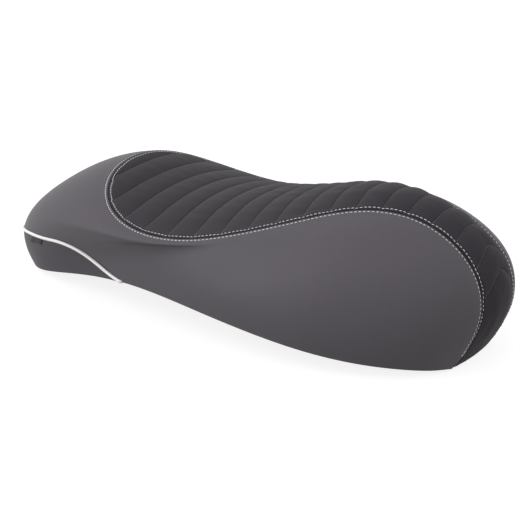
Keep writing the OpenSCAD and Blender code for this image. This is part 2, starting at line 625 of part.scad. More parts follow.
// Hex bolt whose head lies under a plate of thickness t, with its shank going up.
module bolt(p, foot_z, t) {
    washer_h = 1;
    washer_r = bolt_af * 0.68;
    translate([p.x, p.y, foot_z - t]) {
        translate([0, 0, -washer_h]) cylinder(h = washer_h, r = washer_r);
        translate([0, 0, -bolt_head]) cylinder(h = bolt_head - washer_h / 2, r = bolt_af / 2 / cos(30), $fn = 6);
        translate([0, 0, -washer_h / 2]) cylinder(h = t + insert_h - 0.5, d = bolt_d);
    }
}

module hinge_bolts() {
    color([0.7, 0.7, 0.72]) for (p = hinge_spots) bolt(p, hinge_foot, hinge_t);
}

module striker_bolts() {
    color([0.7, 0.7, 0.72]) for (p = striker_spots) bolt(p, striker_foot, striker_t);
}

// One ear of the hinge: a plate in the XZ plane with a round lower end and a bore.
module ear(y) {
    translate([hinge_x, y + hinge_t / 2, 0]) rotate([90, 0, 0]) linear_extrude(hinge_t) union() {
        translate([0, hinge_axis_z]) circle(r = ear_r);
        translate([-ear_r, hinge_axis_z]) square([2 * ear_r, hinge_foot - hinge_t / 2 - hinge_axis_z]);
    }
}

module hinge_bracket() {
    color([0.3, 0.31, 0.33])
    difference() {
        union() {
            translate([hinge_x - hinge_plate_x / 2, -hinge_plate_y / 2, hinge_foot - hinge_t])
                cube([hinge_plate_x, hinge_plate_y, hinge_t]);
            for (sy = [-1, 1]) ear(sy * (ear_gap + hinge_t) / 2);
        }
        translate([hinge_x, seat_width, hinge_axis_z]) rotate([90, 0, 0])
            cylinder(h = 2 * seat_width, d = hinge_bore_d);
        for (p = hinge_spots)
            translate([p.x, p.y, 0]) cylinder(h = seat_height, d = bolt_d + 2 * bolt_play);
    }
}

// The striker: a plate with a hoop of round wire welded under it, the hoop across the seat.
module latch_striker() {
    bend_r = striker_d;
    half_gap = (striker_gap + striker_d) / 2;
    low = striker_low + striker_d / 2;
    leg_h = striker_foot - striker_t / 2 - low - bend_r;
    color([0.66, 0.67, 0.69]) {
        difference() {
            translate([striker_x - striker_plate_x / 2, -striker_plate_y / 2, striker_foot - striker_t])
                cube([striker_plate_x, striker_plate_y, striker_t]);
            for (p = striker_spots)
                translate([p.x, p.y, 0]) cylinder(h = seat_height, d = bolt_d + 2 * bolt_play);
        }
        for (sy = [-1, 1]) {
            translate([striker_x, sy * half_gap, low + bend_r]) cylinder(h = leg_h, d = striker_d);
            translate([striker_x, sy * (half_gap - bend_r), low + bend_r])
                rotate([90, 0, 90 * sy]) rotate_extrude(angle = -90) translate([bend_r, 0]) circle(d = striker_d);
        }
        translate([striker_x, half_gap - bend_r, low]) rotate([90, 0, 0])
            cylinder(h = 2 * (half_gap - bend_r), d = striker_d);
    }
}

// Push-in rubber buffer: tapered foot below its boss, stem up through the boss.
module buffer(p, foot_z) {
    stem_h = 9;
    color([0.08, 0.08, 0.085]) translate([p.x, p.y, foot_z]) {
        rotate([180, 0, 0]) cylinder(h = buffer_h, d1 = buffer_d, d2 = buffer_foot_d, $fn = 48);
        cylinder(h = stem_h, d = stem_d - 2 * stem_play);
    }
}

module buffer_rear_right() buffer(rear_spots[0], buffer_foot(rear_buffer_x));
module buffer_rear_left() buffer(rear_spots[1], buffer_foot(rear_buffer_x));
module buffer_front_right() buffer(front_spots[0], buffer_foot(front_buffer_x));
module buffer_front_left() buffer(front_spots[1], buffer_foot(front_buffer_x));

seat_pan();
foam_cushion();
centre_panel();
side_cover();
rear_skirt();
piping_cord();
label_tag();
hinge_bracket();
hinge_bolts();
latch_striker();
striker_bolts();
threaded_inserts();
buffer_rear_left();
buffer_rear_right();
buffer_front_left();
buffer_front_right();
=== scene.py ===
"""Scooter sport seat: the looks of the covers, seams, stitches and hardware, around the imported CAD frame.

Shapes are worked out in millimetres in the frame of the CAD model and scaled to metres in add_mesh().
X runs from the tail (-) to the nose (+), +Z is up and Y = 0 is the plane of symmetry.
"""

import math

import bpy
import numpy as np
from mathutils import Matrix, Vector


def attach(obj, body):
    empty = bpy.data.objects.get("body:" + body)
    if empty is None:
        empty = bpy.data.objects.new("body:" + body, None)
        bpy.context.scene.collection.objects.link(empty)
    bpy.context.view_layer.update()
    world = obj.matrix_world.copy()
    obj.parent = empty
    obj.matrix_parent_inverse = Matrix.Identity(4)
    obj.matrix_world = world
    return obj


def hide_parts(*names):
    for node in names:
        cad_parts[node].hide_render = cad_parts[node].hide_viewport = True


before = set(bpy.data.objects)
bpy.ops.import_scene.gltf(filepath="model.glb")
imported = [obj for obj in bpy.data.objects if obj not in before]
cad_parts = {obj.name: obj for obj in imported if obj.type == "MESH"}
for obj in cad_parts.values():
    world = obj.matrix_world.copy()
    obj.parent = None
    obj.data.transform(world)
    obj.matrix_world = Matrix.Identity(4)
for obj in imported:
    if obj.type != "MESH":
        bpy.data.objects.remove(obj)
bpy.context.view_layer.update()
MM = 0.001


# Camera: azimuth, elevation and roll round a point of the seat, as in the photograph.
def add_camera():
    """Camera that looks at AIM from DISTANCE mm, with a lens of FOCAL px on a picture of 520 px."""
    azimuth, elevation, roll = math.radians(34.5346), math.radians(21.1909), -0.00994
    aim, distance, focal, picture = np.array([30.6, 0.0, 55.9]), 1806.2, 1431.5, 520
    centre = (269.22, 261.87)
    back = np.array([math.sin(azimuth) * math.cos(elevation),
                     -math.cos(azimuth) * math.cos(elevation), math.sin(elevation)])
    right = np.array([math.cos(azimuth), math.sin(azimuth), 0.0])
    up = np.cross(back, right)
    right, up = (right * math.cos(roll) + up * math.sin(roll),
                 up * math.cos(roll) - right * math.sin(roll))
    data = bpy.data.cameras.new("camera")
    data.sensor_width = 36.0
    data.lens = focal * 36.0 / picture
    data.shift_x = (picture / 2 - centre[0]) / picture
    data.shift_y = (centre[1] - picture / 2) / picture
    camera = bpy.data.objects.new("camera", data)
    place = Matrix.Identity(4)
    for column, axis in enumerate((right, up, back, (aim + back * distance) * MM)):
        for row in range(3):
            place[row][column] = axis[row]
    camera.matrix_world = place
    bpy.context.scene.collection.objects.link(camera)
    bpy.context.scene.camera = camera


add_camera()

# The two rails, the crown and the section of the side, as the CAD model has them.
SEAM = np.array([[-182, 0, 166], [-172, 68, 155], [-135, 115, 130], [-75, 131, 114], [-8, 125, 115],
                 [57, 104, 131], [121, 79, 152], [181, 54, 172], [239, 35, 174], [293, 31, 157],
                 [337, 35, 122], [351, 39, 68], [319, 50, 2]], float)
RIM = np.array([[-340, 0, 0], [-330, 54, 0], [-284, 92, 6], [-211, 104, 23], [-134, 115, 36],
                [-54, 130, 40], [29, 143, 36], [105, 149, 30], [175, 146, 23], [235, 129, 16],
                [280, 104, 11], [309, 77, 6], [319, 50, 2]], float)
CROWN = np.array([-5, 10, 19, 26, 27, 22.5, 18.5, 16.5, 15, 14, 15, 13, 4], float)
BULGE_HEADING = np.array([180, 156, 109, 90, 78, 55, 30], float)
SEAM_OUT = np.array([0.41, 0.35, 0.25, 0.24, 0.27, 0.23, 0.05])
SEAM_DOWN = np.array([0.05, 0.06, 0.1, 0.12, 0.08, 0.09, 0.23])
RIM_OUT = np.array([0.32, 0.14, 0, 0.07, 0.13, 0.13, 0.06])
RIM_UP = np.array([0.14, 0.42, 0.5, 0.42, 0.4, 0.39, 0.32])
LAST = 12
CROWN_POWER = 2.2
# The piping: share of the side that it runs at, the stations where it leaves that level, where it would
# flatten out at the rim, and where it and the skirt end.
PIPING_LEVEL, PIPING_LEAVE, PIPING_FLAT, PIPING_END, SKIRT_END = 0.735, 2.55, 4.408, 4.25, 4.1
PIPING_D, PIPING_PROUD = 4.2, 0.9
EDGE_ROOM = PIPING_D / 2 - 0.3
COVER_T = 1.6
FOAM_GAP = 0.7
HEM = 15.0
PITCH, FIRST_LINE, LINES, PUFF = 32.0, 19.0, 18, 3.5
LAST_LINE = FIRST_LINE + PITCH * (LINES - 1)
STEP = 0.02
# Gathers that stitches pull in, mm from one to the next, and how far the seam turns the covers' normals.
GATHER, MITRE_REACH = 7.6, 3.5
# The inner side of a sheet keeps every STRIDE-th point of the outer one.
STRIDE = 4
FLOOR_GAP = 0.05


def unit(v):
    """Vectors along the last axis, scaled to length 1."""
    return v / np.maximum(np.linalg.norm(v, axis=-1, keepdims=True), 1e-9)


def smooth_step(x, low, high):
    """Rise from 0 at low to 1 at high with level ends."""
    f = np.clip((x - low) / (high - low), 0, 1)
    return f * f * (3 - 2 * f)


def with_ghosts(points):
    """Control points with the two mirrored ones before the first and the one that continues the last."""
    flip = np.array([1, -1, 1]) if points.ndim == 2 else 1
    before = points[2:0:-1] * flip
    return np.concatenate([before, points, [2 * points[-1] - points[-2]]])


def b_spline(ghosted, t):
    """Uniform cubic B-spline at t >= 0: four neighbouring control points weighted by the cubic basis."""
    k = np.minimum(t.astype(int), LAST - 1)
    f = t - k
    weights = ((1 - f) ** 3, 3 * f**3 - 6 * f * f + 4, -3 * f**3 + 3 * f * f + 3 * f + 1, f**3)
    return sum((w[..., None] if ghosted.ndim == 2 else w) * ghosted[k + 1 + i]
               for i, w in enumerate(weights)) / 6


def rail(points, t):
    """Point of a rail at station t. Negative stations are the mirror image on the -Y half."""
    t = np.asarray(t, float)
    p = b_spline(with_ghosts(points), np.abs(t))
    p[..., 1] *= np.where(t < 0, -1, 1)
    return p


def through(values, t, odd=False):
    """Catmull-Rom curve through evenly spaced values; odd turns the mirrored values about the first."""
    n = len(values) - 1
    u = t / LAST * n
    k = np.clip(u.astype(int), 0, n - 1)
    f = u - k
    first = 2 * values[0] - values[1] if odd else values[1]
    p0 = np.where(k > 0, values[np.maximum(k - 1, 0)], first)
    p3 = np.where(k + 2 > n, 2 * values[n] - values[n - 1], values[np.minimum(k + 2, n)])
    p1, p2 = values[k], values[k + 1]
    return p1 + 0.5 * f * (p2 - p0 + f * (2 * p0 - 5 * p1 + 4 * p2 - p3 + f * (3 * (p1 - p2) + p3 - p0)))


def side_at(t, q):
    """Side surface: cubic Bezier in q from seam (0) to rim (1). Its handles leave the seam outward and
    down, and the rim outward and up, by shares of the distance between the rails."""
    t, q = np.broadcast_arrays(np.asarray(t, float), np.asarray(q, float))
    s = np.abs(t)
    c, r = b_spline(with_ghosts(SEAM), s), b_spline(with_ghosts(RIM), s)
    d = np.linalg.norm(r - c, axis=-1, keepdims=True)
    heading = np.radians(through(BULGE_HEADING, s, odd=True))
    out = np.stack([np.cos(heading), np.sin(heading), np.zeros_like(heading)], -1)
    up = np.array([0, 0, 1.0])
    b1 = c + d * (out * through(SEAM_OUT, s)[..., None] - up * through(SEAM_DOWN, s)[..., None])
    b2 = r + d * (out * through(RIM_OUT, s)[..., None] + up * through(RIM_UP, s)[..., None])
    q = q[..., None]
    p = (1 - q) ** 3 * c + 3 * q * (1 - q) ** 2 * b1 + 3 * q * q * (1 - q) * b2 + q**3 * r
    p[..., 1] *= np.where(t < 0, -1, 1)
    return p


def side_normal(t, q):
    """Outward normal of the side surface, from its differences along t and q."""
    return unit(np.cross(side_at(t + STEP, q) - side_at(t - STEP, q),
                         side_at(t, q + STEP) - side_at(t, q - STEP)))


def centre_at(t, v):
    """Centre surface: the seam's point with y scaled by v from -1 to 1, raised by the crown times
    (1 - |v|^2.2) along the normal of the seam seen from the side."""
    t, v = np.broadcast_arrays(np.asarray(t, float), np.asarray(v, float))
    c = rail(SEAM, t)
    d = rail(SEAM, t + STEP) - rail(SEAM, np.maximum(t - STEP, 0.0))
    n = unit(np.stack([-d[..., 2], np.zeros_like(t), d[..., 0]], -1))
    h = b_spline(with_ghosts(CROWN), t) * (1 - np.abs(v) ** CROWN_POWER)
    return np.stack([c[..., 0], c[..., 1] * v, c[..., 2]], -1) + n * h[..., None]


def centre_normal(t, v):
    """Outward normal of the centre surface, from its differences along t and v."""
    return unit(np.cross(centre_at(t + STEP, v) - centre_at(t - STEP, v),
                         centre_at(t, v + STEP) - centre_at(t, v - STEP)))


def grid_normals(p):
    """Normals of a grid of points: the cross product of its differences along rows and columns."""
    return unit(np.cross(np.gradient(p, axis=0), np.gradient(p, axis=1)))


# Meshes.
def add_mesh(name, points, faces, smooth=True, uv=None):
    """Mesh object of points in mm, with a uv per point in metres and flat faces where smooth is False."""
    mesh = bpy.data.meshes.new(name)
    mesh.from_pydata((np.asarray(points) * MM).tolist(), [], faces)
    mesh.polygons.foreach_set("use_smooth", np.zeros(len(faces), bool) | smooth)
    if uv is not None:
        corner = np.empty(len(mesh.loops), np.int32)
        mesh.loops.foreach_get("vertex_index", corner)
        layer = mesh.uv_layers.new(name="flat")
        layer.data.foreach_set("uv", np.asarray(uv, np.float32)[corner].ravel())
    mesh.update()
    piece = bpy.data.objects.new(name, mesh)
    bpy.context.scene.collection.objects.link(piece)
    return piece


def quads(rows, columns, start=0, wrap=False):
    """Faces between the points of a grid, turned so that rows x columns points outward."""
    i, j = np.meshgrid(np.arange(rows - 1), np.arange(columns if wrap else columns - 1), indexing="ij")
    k = (j + 1) % columns
    a, b = i * columns + j, i * columns + k
    return (np.stack([a, a + columns, b + columns, b], -1) + start).reshape(-1, 4)


def sheet_piece(name, outer, inner, flat):
    """Closed sheet between an outer grid and an inner one that keeps every STRIDE-th point, joined
    round the edge by faces that take in STRIDE edges of the outer grid."""
    n, m = outer.shape[:2]
    coarse = inner[::STRIDE, ::STRIDE]
    cn, cm = coarse.shape[:2]

    def border(fine, rough, turned):
        reach = np.arange(STRIDE + 1)
        strip = [np.concatenate([fine[k * STRIDE + reach], rough[[k + 1, k]]]) for k in range(len(rough) - 1)]
        return [list(f[::-1]) if turned else list(f) for f in strip]

    grid = np.arange(n * m).reshape(n, m)
    under = np.arange(cn * cm).reshape(cn, cm) + n * m
    sides = (border(grid[0], under[0], False) + border(grid[-1], under[-1], True)
             + border(grid[:, 0], under[:, 0], True) + border(grid[:, -1], under[:, -1], False))
    broad = quads(n, m).tolist() + quads(cn, cm, n * m)[:, ::-1].tolist()
    smooth = np.arange(len(broad) + len(sides)) < len(broad)
    uv = np.concatenate([flat.reshape(-1, 2), flat[::STRIDE, ::STRIDE].reshape(-1, 2)])
    points = np.concatenate([outer.reshape(-1, 3), coarse.reshape(-1, 3)])
    return add_mesh(name, points, broad + sides, smooth, uv)


def run_length(p, axis):
    """Distance run along a grid of points in one direction, from its first row or column."""
    steps = np.linalg.norm(np.diff(p, axis=axis), axis=-1)
    start = np.zeros_like(np.take(steps, [0], axis=axis))
    return np.concatenate([start, np.cumsum(steps, axis=axis)], axis=axis)


def cut_flat(along, grid):
    """Flat coordinates of a cover in metres: the distance along it and the distance run across it."""
    return np.stack([along + 0 * grid[..., 0], run_length(grid, 1)], -1) * MM


def lengthened(grid, axis, step):
    """Grid with more rows or columns after its last, a step apart, until STRIDE divides its length."""
    last = np.take(grid, [-1], axis=axis)
    more = [last + step * (k + 1) for k in range(-(grid.shape[axis] - 1) % STRIDE)]
    return np.concatenate([grid] + more, axis=axis)


def filled(near, far, count):
    """Columns near one edge, count even ones in between and the columns at the far edge."""
    rest = near[:, -1:] + (far[:, :1] - near[:, -1:]) * np.linspace(0, 1, count + 2)[1:-1]
    return np.concatenate([near, rest, far], 1)


def nearest(points, line, batch=2048):
    """Distance from each point to a line, measured to the two segments at the line's nearest point."""
    found = np.empty(len(points))
    for start in range(0, len(points), batch):
        p = points[start:start + batch]
        k = np.argmin(((p[:, None] - line[None]) ** 2).sum(-1), axis=1)
        best = np.full(len(p), np.inf)
        for a in (np.maximum(k - 1, 0), np.minimum(k, len(line) - 2)):
            ab = line[a + 1] - line[a]
            share = np.clip(((p - line[a]) * ab).sum(-1) / (ab**2).sum(-1), 0, 1)
            best = np.minimum(best, np.linalg.norm(p - line[a] - ab * share[:, None], axis=-1))
        found[start:start + batch] = best
    return found


# Seam between centre panel and side cover.
seam_line = rail(SEAM, np.linspace(-LAST, LAST, 2401))
STITCH_IN = 3.7


def seam_profile(e):
    """Height of a cover beside its seam at distance e: a valley at the seam, the padded fold of the
    seam allowance, the groove that the top stitching pulls in, and a soft shoulder."""
    return (-1.7 * np.exp(-(e / 0.75) ** 2) + 0.35 * np.exp(-((e - 2.1) / 0.9) ** 2)
            - 0.6 * np.exp(-((e - STITCH_IN) / 0.8) ** 2) + 0.35 * np.exp(-((e - 6.0) / 2.0) ** 2))


def seam_mitre(t):
    """Direction halfway between the normals of centre panel and side cover at the seam."""
    s = np.maximum(np.abs(t), 0.08)
    m = unit(centre_normal(s, 0.999) + side_normal(s, 0.02))
    m[..., 1] *= np.where(t < 0, -1, 1)
    return m


# Distances of the columns next to a seam and to the rim, close together where the profile needs it.
RIM_COLUMNS = np.array([9, 6.5, 4.8, 3.5, 2.5, 1.7, 1, 0.45, 0])
SEAM_COLUMNS = np.array([0.12, 0.5, 0.9, 1.3, 1.7, 2.1, 2.5, 2.9, 3.3, 3.7, 4.1, 4.5, 5.1, 6, 7.2, 9, 11.5])

# Centre panel: rows follow the stitched lines, columns run from the -Y seam to the +Y seam.
middle_t = np.linspace(0.03, LAST, 3000)
middle_run = run_length(centre_at(middle_t, 0.0), 0)
middle_run -= np.interp(0.06, middle_t, middle_run)
MIDDLE = middle_run[-1]
# The last lines bow towards the nose at the seams and the others lag in the middle, by these stations.
NOSE_BOW, LINE_LAG, BOW_START = 0.5, 0.1, FIRST_LINE + PITCH * 14


def panel_t(s, v):
    """Station of the panel at distance s along its middle line and column share v."""
    bow = NOSE_BOW * np.sin(np.pi * np.clip((s - BOW_START) / (MIDDLE - BOW_START), 0, 1)) ** 2
    lag = LINE_LAG * np.sin(np.pi * np.clip(s / BOW_START, 0, 1))
    t = np.interp(s, middle_run, middle_t) + bow - (bow + lag) * (1 - np.abs(v) ** 1.5)
    return np.clip(t, 0.03, LAST)


def channel_rows():
    """Distances of the panel's rows along its middle line, closest beside the stitched lines."""
    phases = np.array([0, 0.018, 0.045, 0.085, 0.14, 0.21, 0.30, 0.40, 0.5,
                       0.60, 0.70, 0.79, 0.86, 0.915, 0.955, 0.982])
    lines = FIRST_LINE + PITCH * np.arange(LINES - 1)
    between = (lines[:, None] + PITCH * phases).ravel()
    nose = LAST_LINE + PITCH * phases[:9]
    rear = np.concatenate([np.linspace(middle_run[0], FIRST_LINE - 5, 12),
                           FIRST_LINE - np.array([3.7, 2.5, 1.5, 0.7])])
    rest = np.linspace(nose[-1], MIDDLE, 39)[1:]
    return np.concatenate([rear, between, nose, rest])


def line_depth(s):
    """How deep the puffed surface is drawn in: 1 in a stitched line, 0 on the channel's crest."""
    phase = (s - FIRST_LINE) / PITCH
    wave = np.abs(np.sin(np.pi * phase)) ** 0.62
    return np.where((s < FIRST_LINE - PITCH / 2) | (s > LAST_LINE + PITCH / 2), 0, 1 - wave)


def padding(s, v):
    """Padding under the panel: full in the middle, none at the seams, the nose and the tail."""
    nose = np.clip((MIDDLE - s) / PITCH, 0, 1)
    tail = np.clip(s / (FIRST_LINE - 4), 0, 1)
    return PUFF * (1 - np.abs(v) ** 8) * nose * tail


def soft_noise(u, v, seed, scale):
    """Smooth random waves: a sum of sines of (u, v) at random headings, about scale mm long."""
    draw = np.random.default_rng(seed)
    total = np.zeros(np.broadcast(u, v).shape)
    for _ in range(14):
        heading, phase = draw.uniform(0, 2 * np.pi, 2)
        size = scale * draw.uniform(0.6, 1.7)
        total += np.sin(2 * np.pi * (u * np.cos(heading) + v * np.sin(heading)) / size + phase)
    return total / 14 ** 0.5


def edge_columns(width, middle):
    """Column distances from one seam to the other over a width: SEAM_COLUMNS at both ends."""
    near = SEAM_COLUMNS * np.minimum(1, width / 100)[:, None]
    return filled(near, width[:, None] - near[:, ::-1], middle)


def centre_panel():
    """Centre panel: the centre surface moved along its way up by the seam's profile, less the padding
    times the depth of the nearest line, plus small puckers and gathers, and a hem under the nose.
    It gives the piece, its grid, the normals, the rows' distances and the way up at each point."""
    s = channel_rows()
    half = np.maximum(rail(SEAM, panel_t(s, 1.0))[:, 1], 0.6)
    v = edge_columns(2 * half, 75) / half[:, None] - 1
    t = panel_t(s[:, None], v)
    base = centre_at(t, v)
    e = nearest(base.reshape(-1, 3), seam_line).reshape(t.shape)
    blend = np.exp(-(e / MITRE_REACH) ** 2)[..., None]
    mitre = seam_mitre(np.where(v < 0, -1, 1) * t)
    up = unit(centre_normal(np.maximum(t, 0.1), v) * (1 - blend) + mitre * blend)
    across = run_length(base, 1)
    across -= across[:, across.shape[1] // 2][:, None]
    pad, drawn = padding(s[:, None], v), line_depth(s)[:, None]
    full = pad / PUFF
    pucker = 0.22 * soft_noise(across, s[:, None] * 0.45, 3, 17) * (1 - drawn) * full
    beside_line = np.exp(-((1 - drawn) / 0.35) ** 2)
    gather = np.sin(2 * np.pi * across / GATHER + 2 * soft_noise(across, s[:, None], 5, 60))
    lift = pucker - pad * drawn + 0.16 * gather * beside_line * full
    outer = base + up * (lift + seam_profile(e))[..., None]
    inner = base - up * (pad + COVER_T)[..., None]
    # The hem goes round the nose rim and back under the pan's flange.
    back = np.array([0.5, 1.1, 1.8, 2.6, 3.6, 5, 7, 9, 11, 13, 15])[:, None]
    x, y = outer[-1, :, 0], outer[-1, :, 1]
    hem = np.stack([x - back, y * (1 - 0.2 * back / HEM), arch(x - back)], -1)
    above = hem + [0, 0, COVER_T]
    above[..., 0] = np.minimum(above[..., 0], inner[-1, :, 0])
    outer = round_corner(np.concatenate([outer, hem]), 0, len(s) - 1, 10, 12)
    inner = np.concatenate([inner, above])
    outer, inner = (lengthened(g, 0, np.array([-0.4, 0, 0])) for g in (outer, inner))
    middle = outer.shape[1] // 2
    across, down = run_length(outer, 1), run_length(outer, 0)
    flat = np.stack([across - across[:, middle][:, None], down[:, middle][:, None] + 0 * across], -1) * MM
    return sheet_piece("centre_panel_cover", outer, inner, flat), outer, grid_normals(outer), s, up


def arch(x):
    """Height of the rim above the floor at x, from the rim rail."""
    p = rail(RIM, np.linspace(0, LAST, 400))
    return np.interp(x, p[:, 0], p[:, 2])


def round_corner(grid, axis, at, reach, rounds):
    """Rounds the fold of a grid at one row or column: each pass moves a point towards the middle of
    its neighbours, fully at the fold and less with distance from it."""
    g = np.moveaxis(grid.copy(), axis, 0)
    weight = np.clip(1 - np.abs(np.arange(len(g)) - at) / reach, 0, 1)[1:-1].reshape(-1, 1, 1)
    for _ in range(rounds):
        g[1:-1] += weight * 0.5 * ((g[:-2] + g[2:]) / 2 - g[1:-1])
    return np.moveaxis(g, 0, axis)


def piping_q(t):
    """Share of the side at which the piping runs: level round the tail, then an S down to the rim."""
    f = smooth_step(np.abs(t), PIPING_LEAVE, PIPING_FLAT)
    return PIPING_LEVEL + (1 - PIPING_LEVEL) * f


def rim_in(t):
    """Level direction from the rim towards the middle of the seat, square to the rim."""
    s = np.abs(t)
    d = rail(RIM, s + STEP) - rail(RIM, s - STEP)
    n = unit(np.stack([d[..., 1], -d[..., 0], np.zeros_like(s)], -1))
    n[..., 1] *= np.where(t < 0, -1, 1)
    return n


def edge_share(t):
    """Share of the side that EDGE_ROOM takes up beside the piping."""
    low, high = 0.76, 0.8
    return EDGE_ROOM * (high - low) / np.linalg.norm(side_at(t, high) - side_at(t, low), axis=-1)


def rolled_edge(d, fold):
    """Height of a cover at distance d from its edge at the piping: rolled in, with a soft fold behind."""
    return -1.1 * np.exp(-(d / 1.1) ** 2) + fold * np.exp(-((d - 3) / 1.6) ** 2)


# Stations that the side cover stops short of the nose, and distances of the hem's columns from the rim.
END_CUT = 0.1
HEM_STEPS = np.array([0.4, 0.9, 1.5, 2.2, 3.1, 4.2, 6, 8.5, 11, 13.5, 15])


def side_stations():
    """Stations of the side cover's rows, closer where the seam turns tightly and at the piping's end."""
    fine = np.linspace(0, LAST - END_CUT, 4000)
    run = run_length(rail(SEAM, fine), 0) * 0.6 + run_length(rail(RIM, fine), 0) * 0.4
    run = run + 18 * smooth_step(fine, PIPING_END - 0.45, PIPING_END + 0.25)
    half = np.interp(np.linspace(0, run[-1], 297), run, fine)
    return np.concatenate([-half[:0:-1], half])


def side_cover():
    """Side cover: the side surface moved along its normal by the seam's profile, the rolled edge at the
    piping, slow waves and gathers. In front of the piping it goes round the rim into the hem.
    It gives the piece, its grid and the normals."""
    t = side_stations()
    s = np.abs(t)
    at_piping = piping_q(t) - edge_share(t) * (1 - smooth_step(s, 3.8, PIPING_END))
    q_end = np.where(s < PIPING_END, np.minimum(at_piping, 1), 1)[:, None]
    height = run_length(side_at(t[:, None], q_end * np.linspace(0, 1, 40)), 1)[:, -1:]
    squeeze = np.minimum(1, height / 60) / height
    share = filled(SEAM_COLUMNS * squeeze, 1 - RIM_COLUMNS * squeeze, 45)
    q = share * q_end
    base = side_at(t[:, None], q)
    normal = side_normal(t[:, None] + 0 * q, q)
    by_seam = 24
    e = np.full(q.shape, 1e3)
    e[:, :by_seam] = nearest(base[:, :by_seam].reshape(-1, 3), seam_line).reshape(-1, by_seam)
    blend = np.exp(-(e / MITRE_REACH) ** 2)[..., None]
    direction = unit(normal * (1 - blend) + seam_mitre(t)[:, None] * blend)
    tail = 1 - smooth_step(s, PIPING_END - 0.12, PIPING_END + 0.02)[:, None]
    along = run_length(base[:, 30], 0)[:, None]
    soft = 0.35 * soft_noise(along, q * height, 11, 120) * np.sin(np.pi * share)
    gather = np.sin(2 * np.pi * along / GATHER + 3 * soft_noise(along, 0 * q, 8, 90))
    lift = (seam_profile(e) + rolled_edge((1 - share) * height, 0.25) * tail + soft
            + 0.12 * gather * np.exp(-((e - 6.5) / 3) ** 2))
    outer = base + direction * lift[..., None]
    reach = HEM_STEPS * (0.09 + 0.91 * smooth_step(s, PIPING_END - 0.1, PIPING_END + 0.12))[:, None]
    inward = unit(rim_in(t) * (1 - tail) - normal[:, -1] * tail)
    hem = outer[:, -1:] + inward[:, None] * reach[..., None]
    under = arch(hem[..., 0]) + 0.25 * np.minimum(1, reach / 3)
    hem[..., 2] = hem[..., 2] * tail + under * (1 - tail)
    outer = np.concatenate([outer, hem], 1)
    rounded = round_corner(outer, 1, q.shape[1] - 1, 8, 10)
    outer = outer * tail[..., None] + rounded * (1 - tail[..., None])
    outer[..., 2] = np.maximum(outer[..., 2], FLOOR_GAP)
    outer = lengthened(outer, 1, 0.3 * inward[:, None])
    normals = grid_normals(outer)
    piece = sheet_piece("side_cover_vinyl", outer, outer - normals * COVER_T, cut_flat(along, outer))
    return piece, outer, normals


def rear_skirt():
    """Rear skirt: the side surface from below the piping to the rim, moved along its normal by the
    rolled edge and slow waves, its lower edge folded under."""
    half = np.linspace(0, 1, 113) ** 0.95 * SKIRT_END
    t = np.concatenate([-half[:0:-1], half])
    start = (piping_q(t) + edge_share(t) * 0.9)[:, None]
    height = run_length(side_at(t[:, None], start + (1 - start) * np.linspace(0, 1, 20)), 1)[:, -1:]
    height = np.maximum(height, 0.5)
    squeeze = np.minimum(1, height / 20) / height
    ends = np.array([0.1, 0.5, 1, 1.6, 2.4, 3.4, 5])
    share = filled(ends * squeeze, 1 - ends[::-1] * squeeze, 16)
    share = np.concatenate([share, np.ones_like(height)], 1)
    q = start + (1 - start) * share
    base = side_at(t[:, None], q)
    along = run_length(base[:, 5], 0)[:, None]
    soft = 0.3 * soft_noise(along, share * height, 21, 60) * np.sin(np.pi * share)
    lift = rolled_edge(share * height, 0.2) + soft
    outer = base + side_normal(t[:, None] + 0 * q, q) * lift[..., None]
    level = rim_in(t)[:, None]
    hem = outer[:, -1:] + level * HEM_STEPS[:, None]
    hem[..., 2] = arch(hem[..., 0]) + 0.25 * np.minimum(1, HEM_STEPS / 3)
    outer = round_corner(np.concatenate([outer, hem], 1), 1, q.shape[1] - 1, 7, 10)
    outer[..., 2] = np.maximum(outer[..., 2], FLOOR_GAP)
    outer = lengthened(outer, 1, 0.3 * level)
    inner = outer - grid_normals(outer) * COVER_T
    return sheet_piece("rear_skirt_vinyl", outer, inner, cut_flat(along, outer))


def tube_piece(name, path, up, radius, sides):
    """Closed tube: a circle of radius carried along a path, its first point towards up."""
    heading = unit(np.gradient(path, axis=0))
    u = unit(up - heading * (up * heading).sum(-1, keepdims=True))
    w = np.cross(heading, u)
    turn = 2 * np.pi * np.arange(sides) / sides
    ring = u[:, None] * np.cos(turn)[None, :, None] + w[:, None] * np.sin(turn)[None, :, None]
    points = path[:, None] + ring * radius
    n = len(path)
    faces = quads(n, sides, wrap=True)[:, ::-1].tolist()
    faces += [list(range(sides))[::-1], list(range((n - 1) * sides, n * sides))]
    run = run_length(path, 0)[:, None]
    flat = np.stack(np.broadcast_arrays(run, turn * radius), -1).reshape(-1, 2) * MM
    return add_mesh(name, points.reshape(-1, 3), faces, np.arange(len(faces)) < len(faces) - 2, flat)


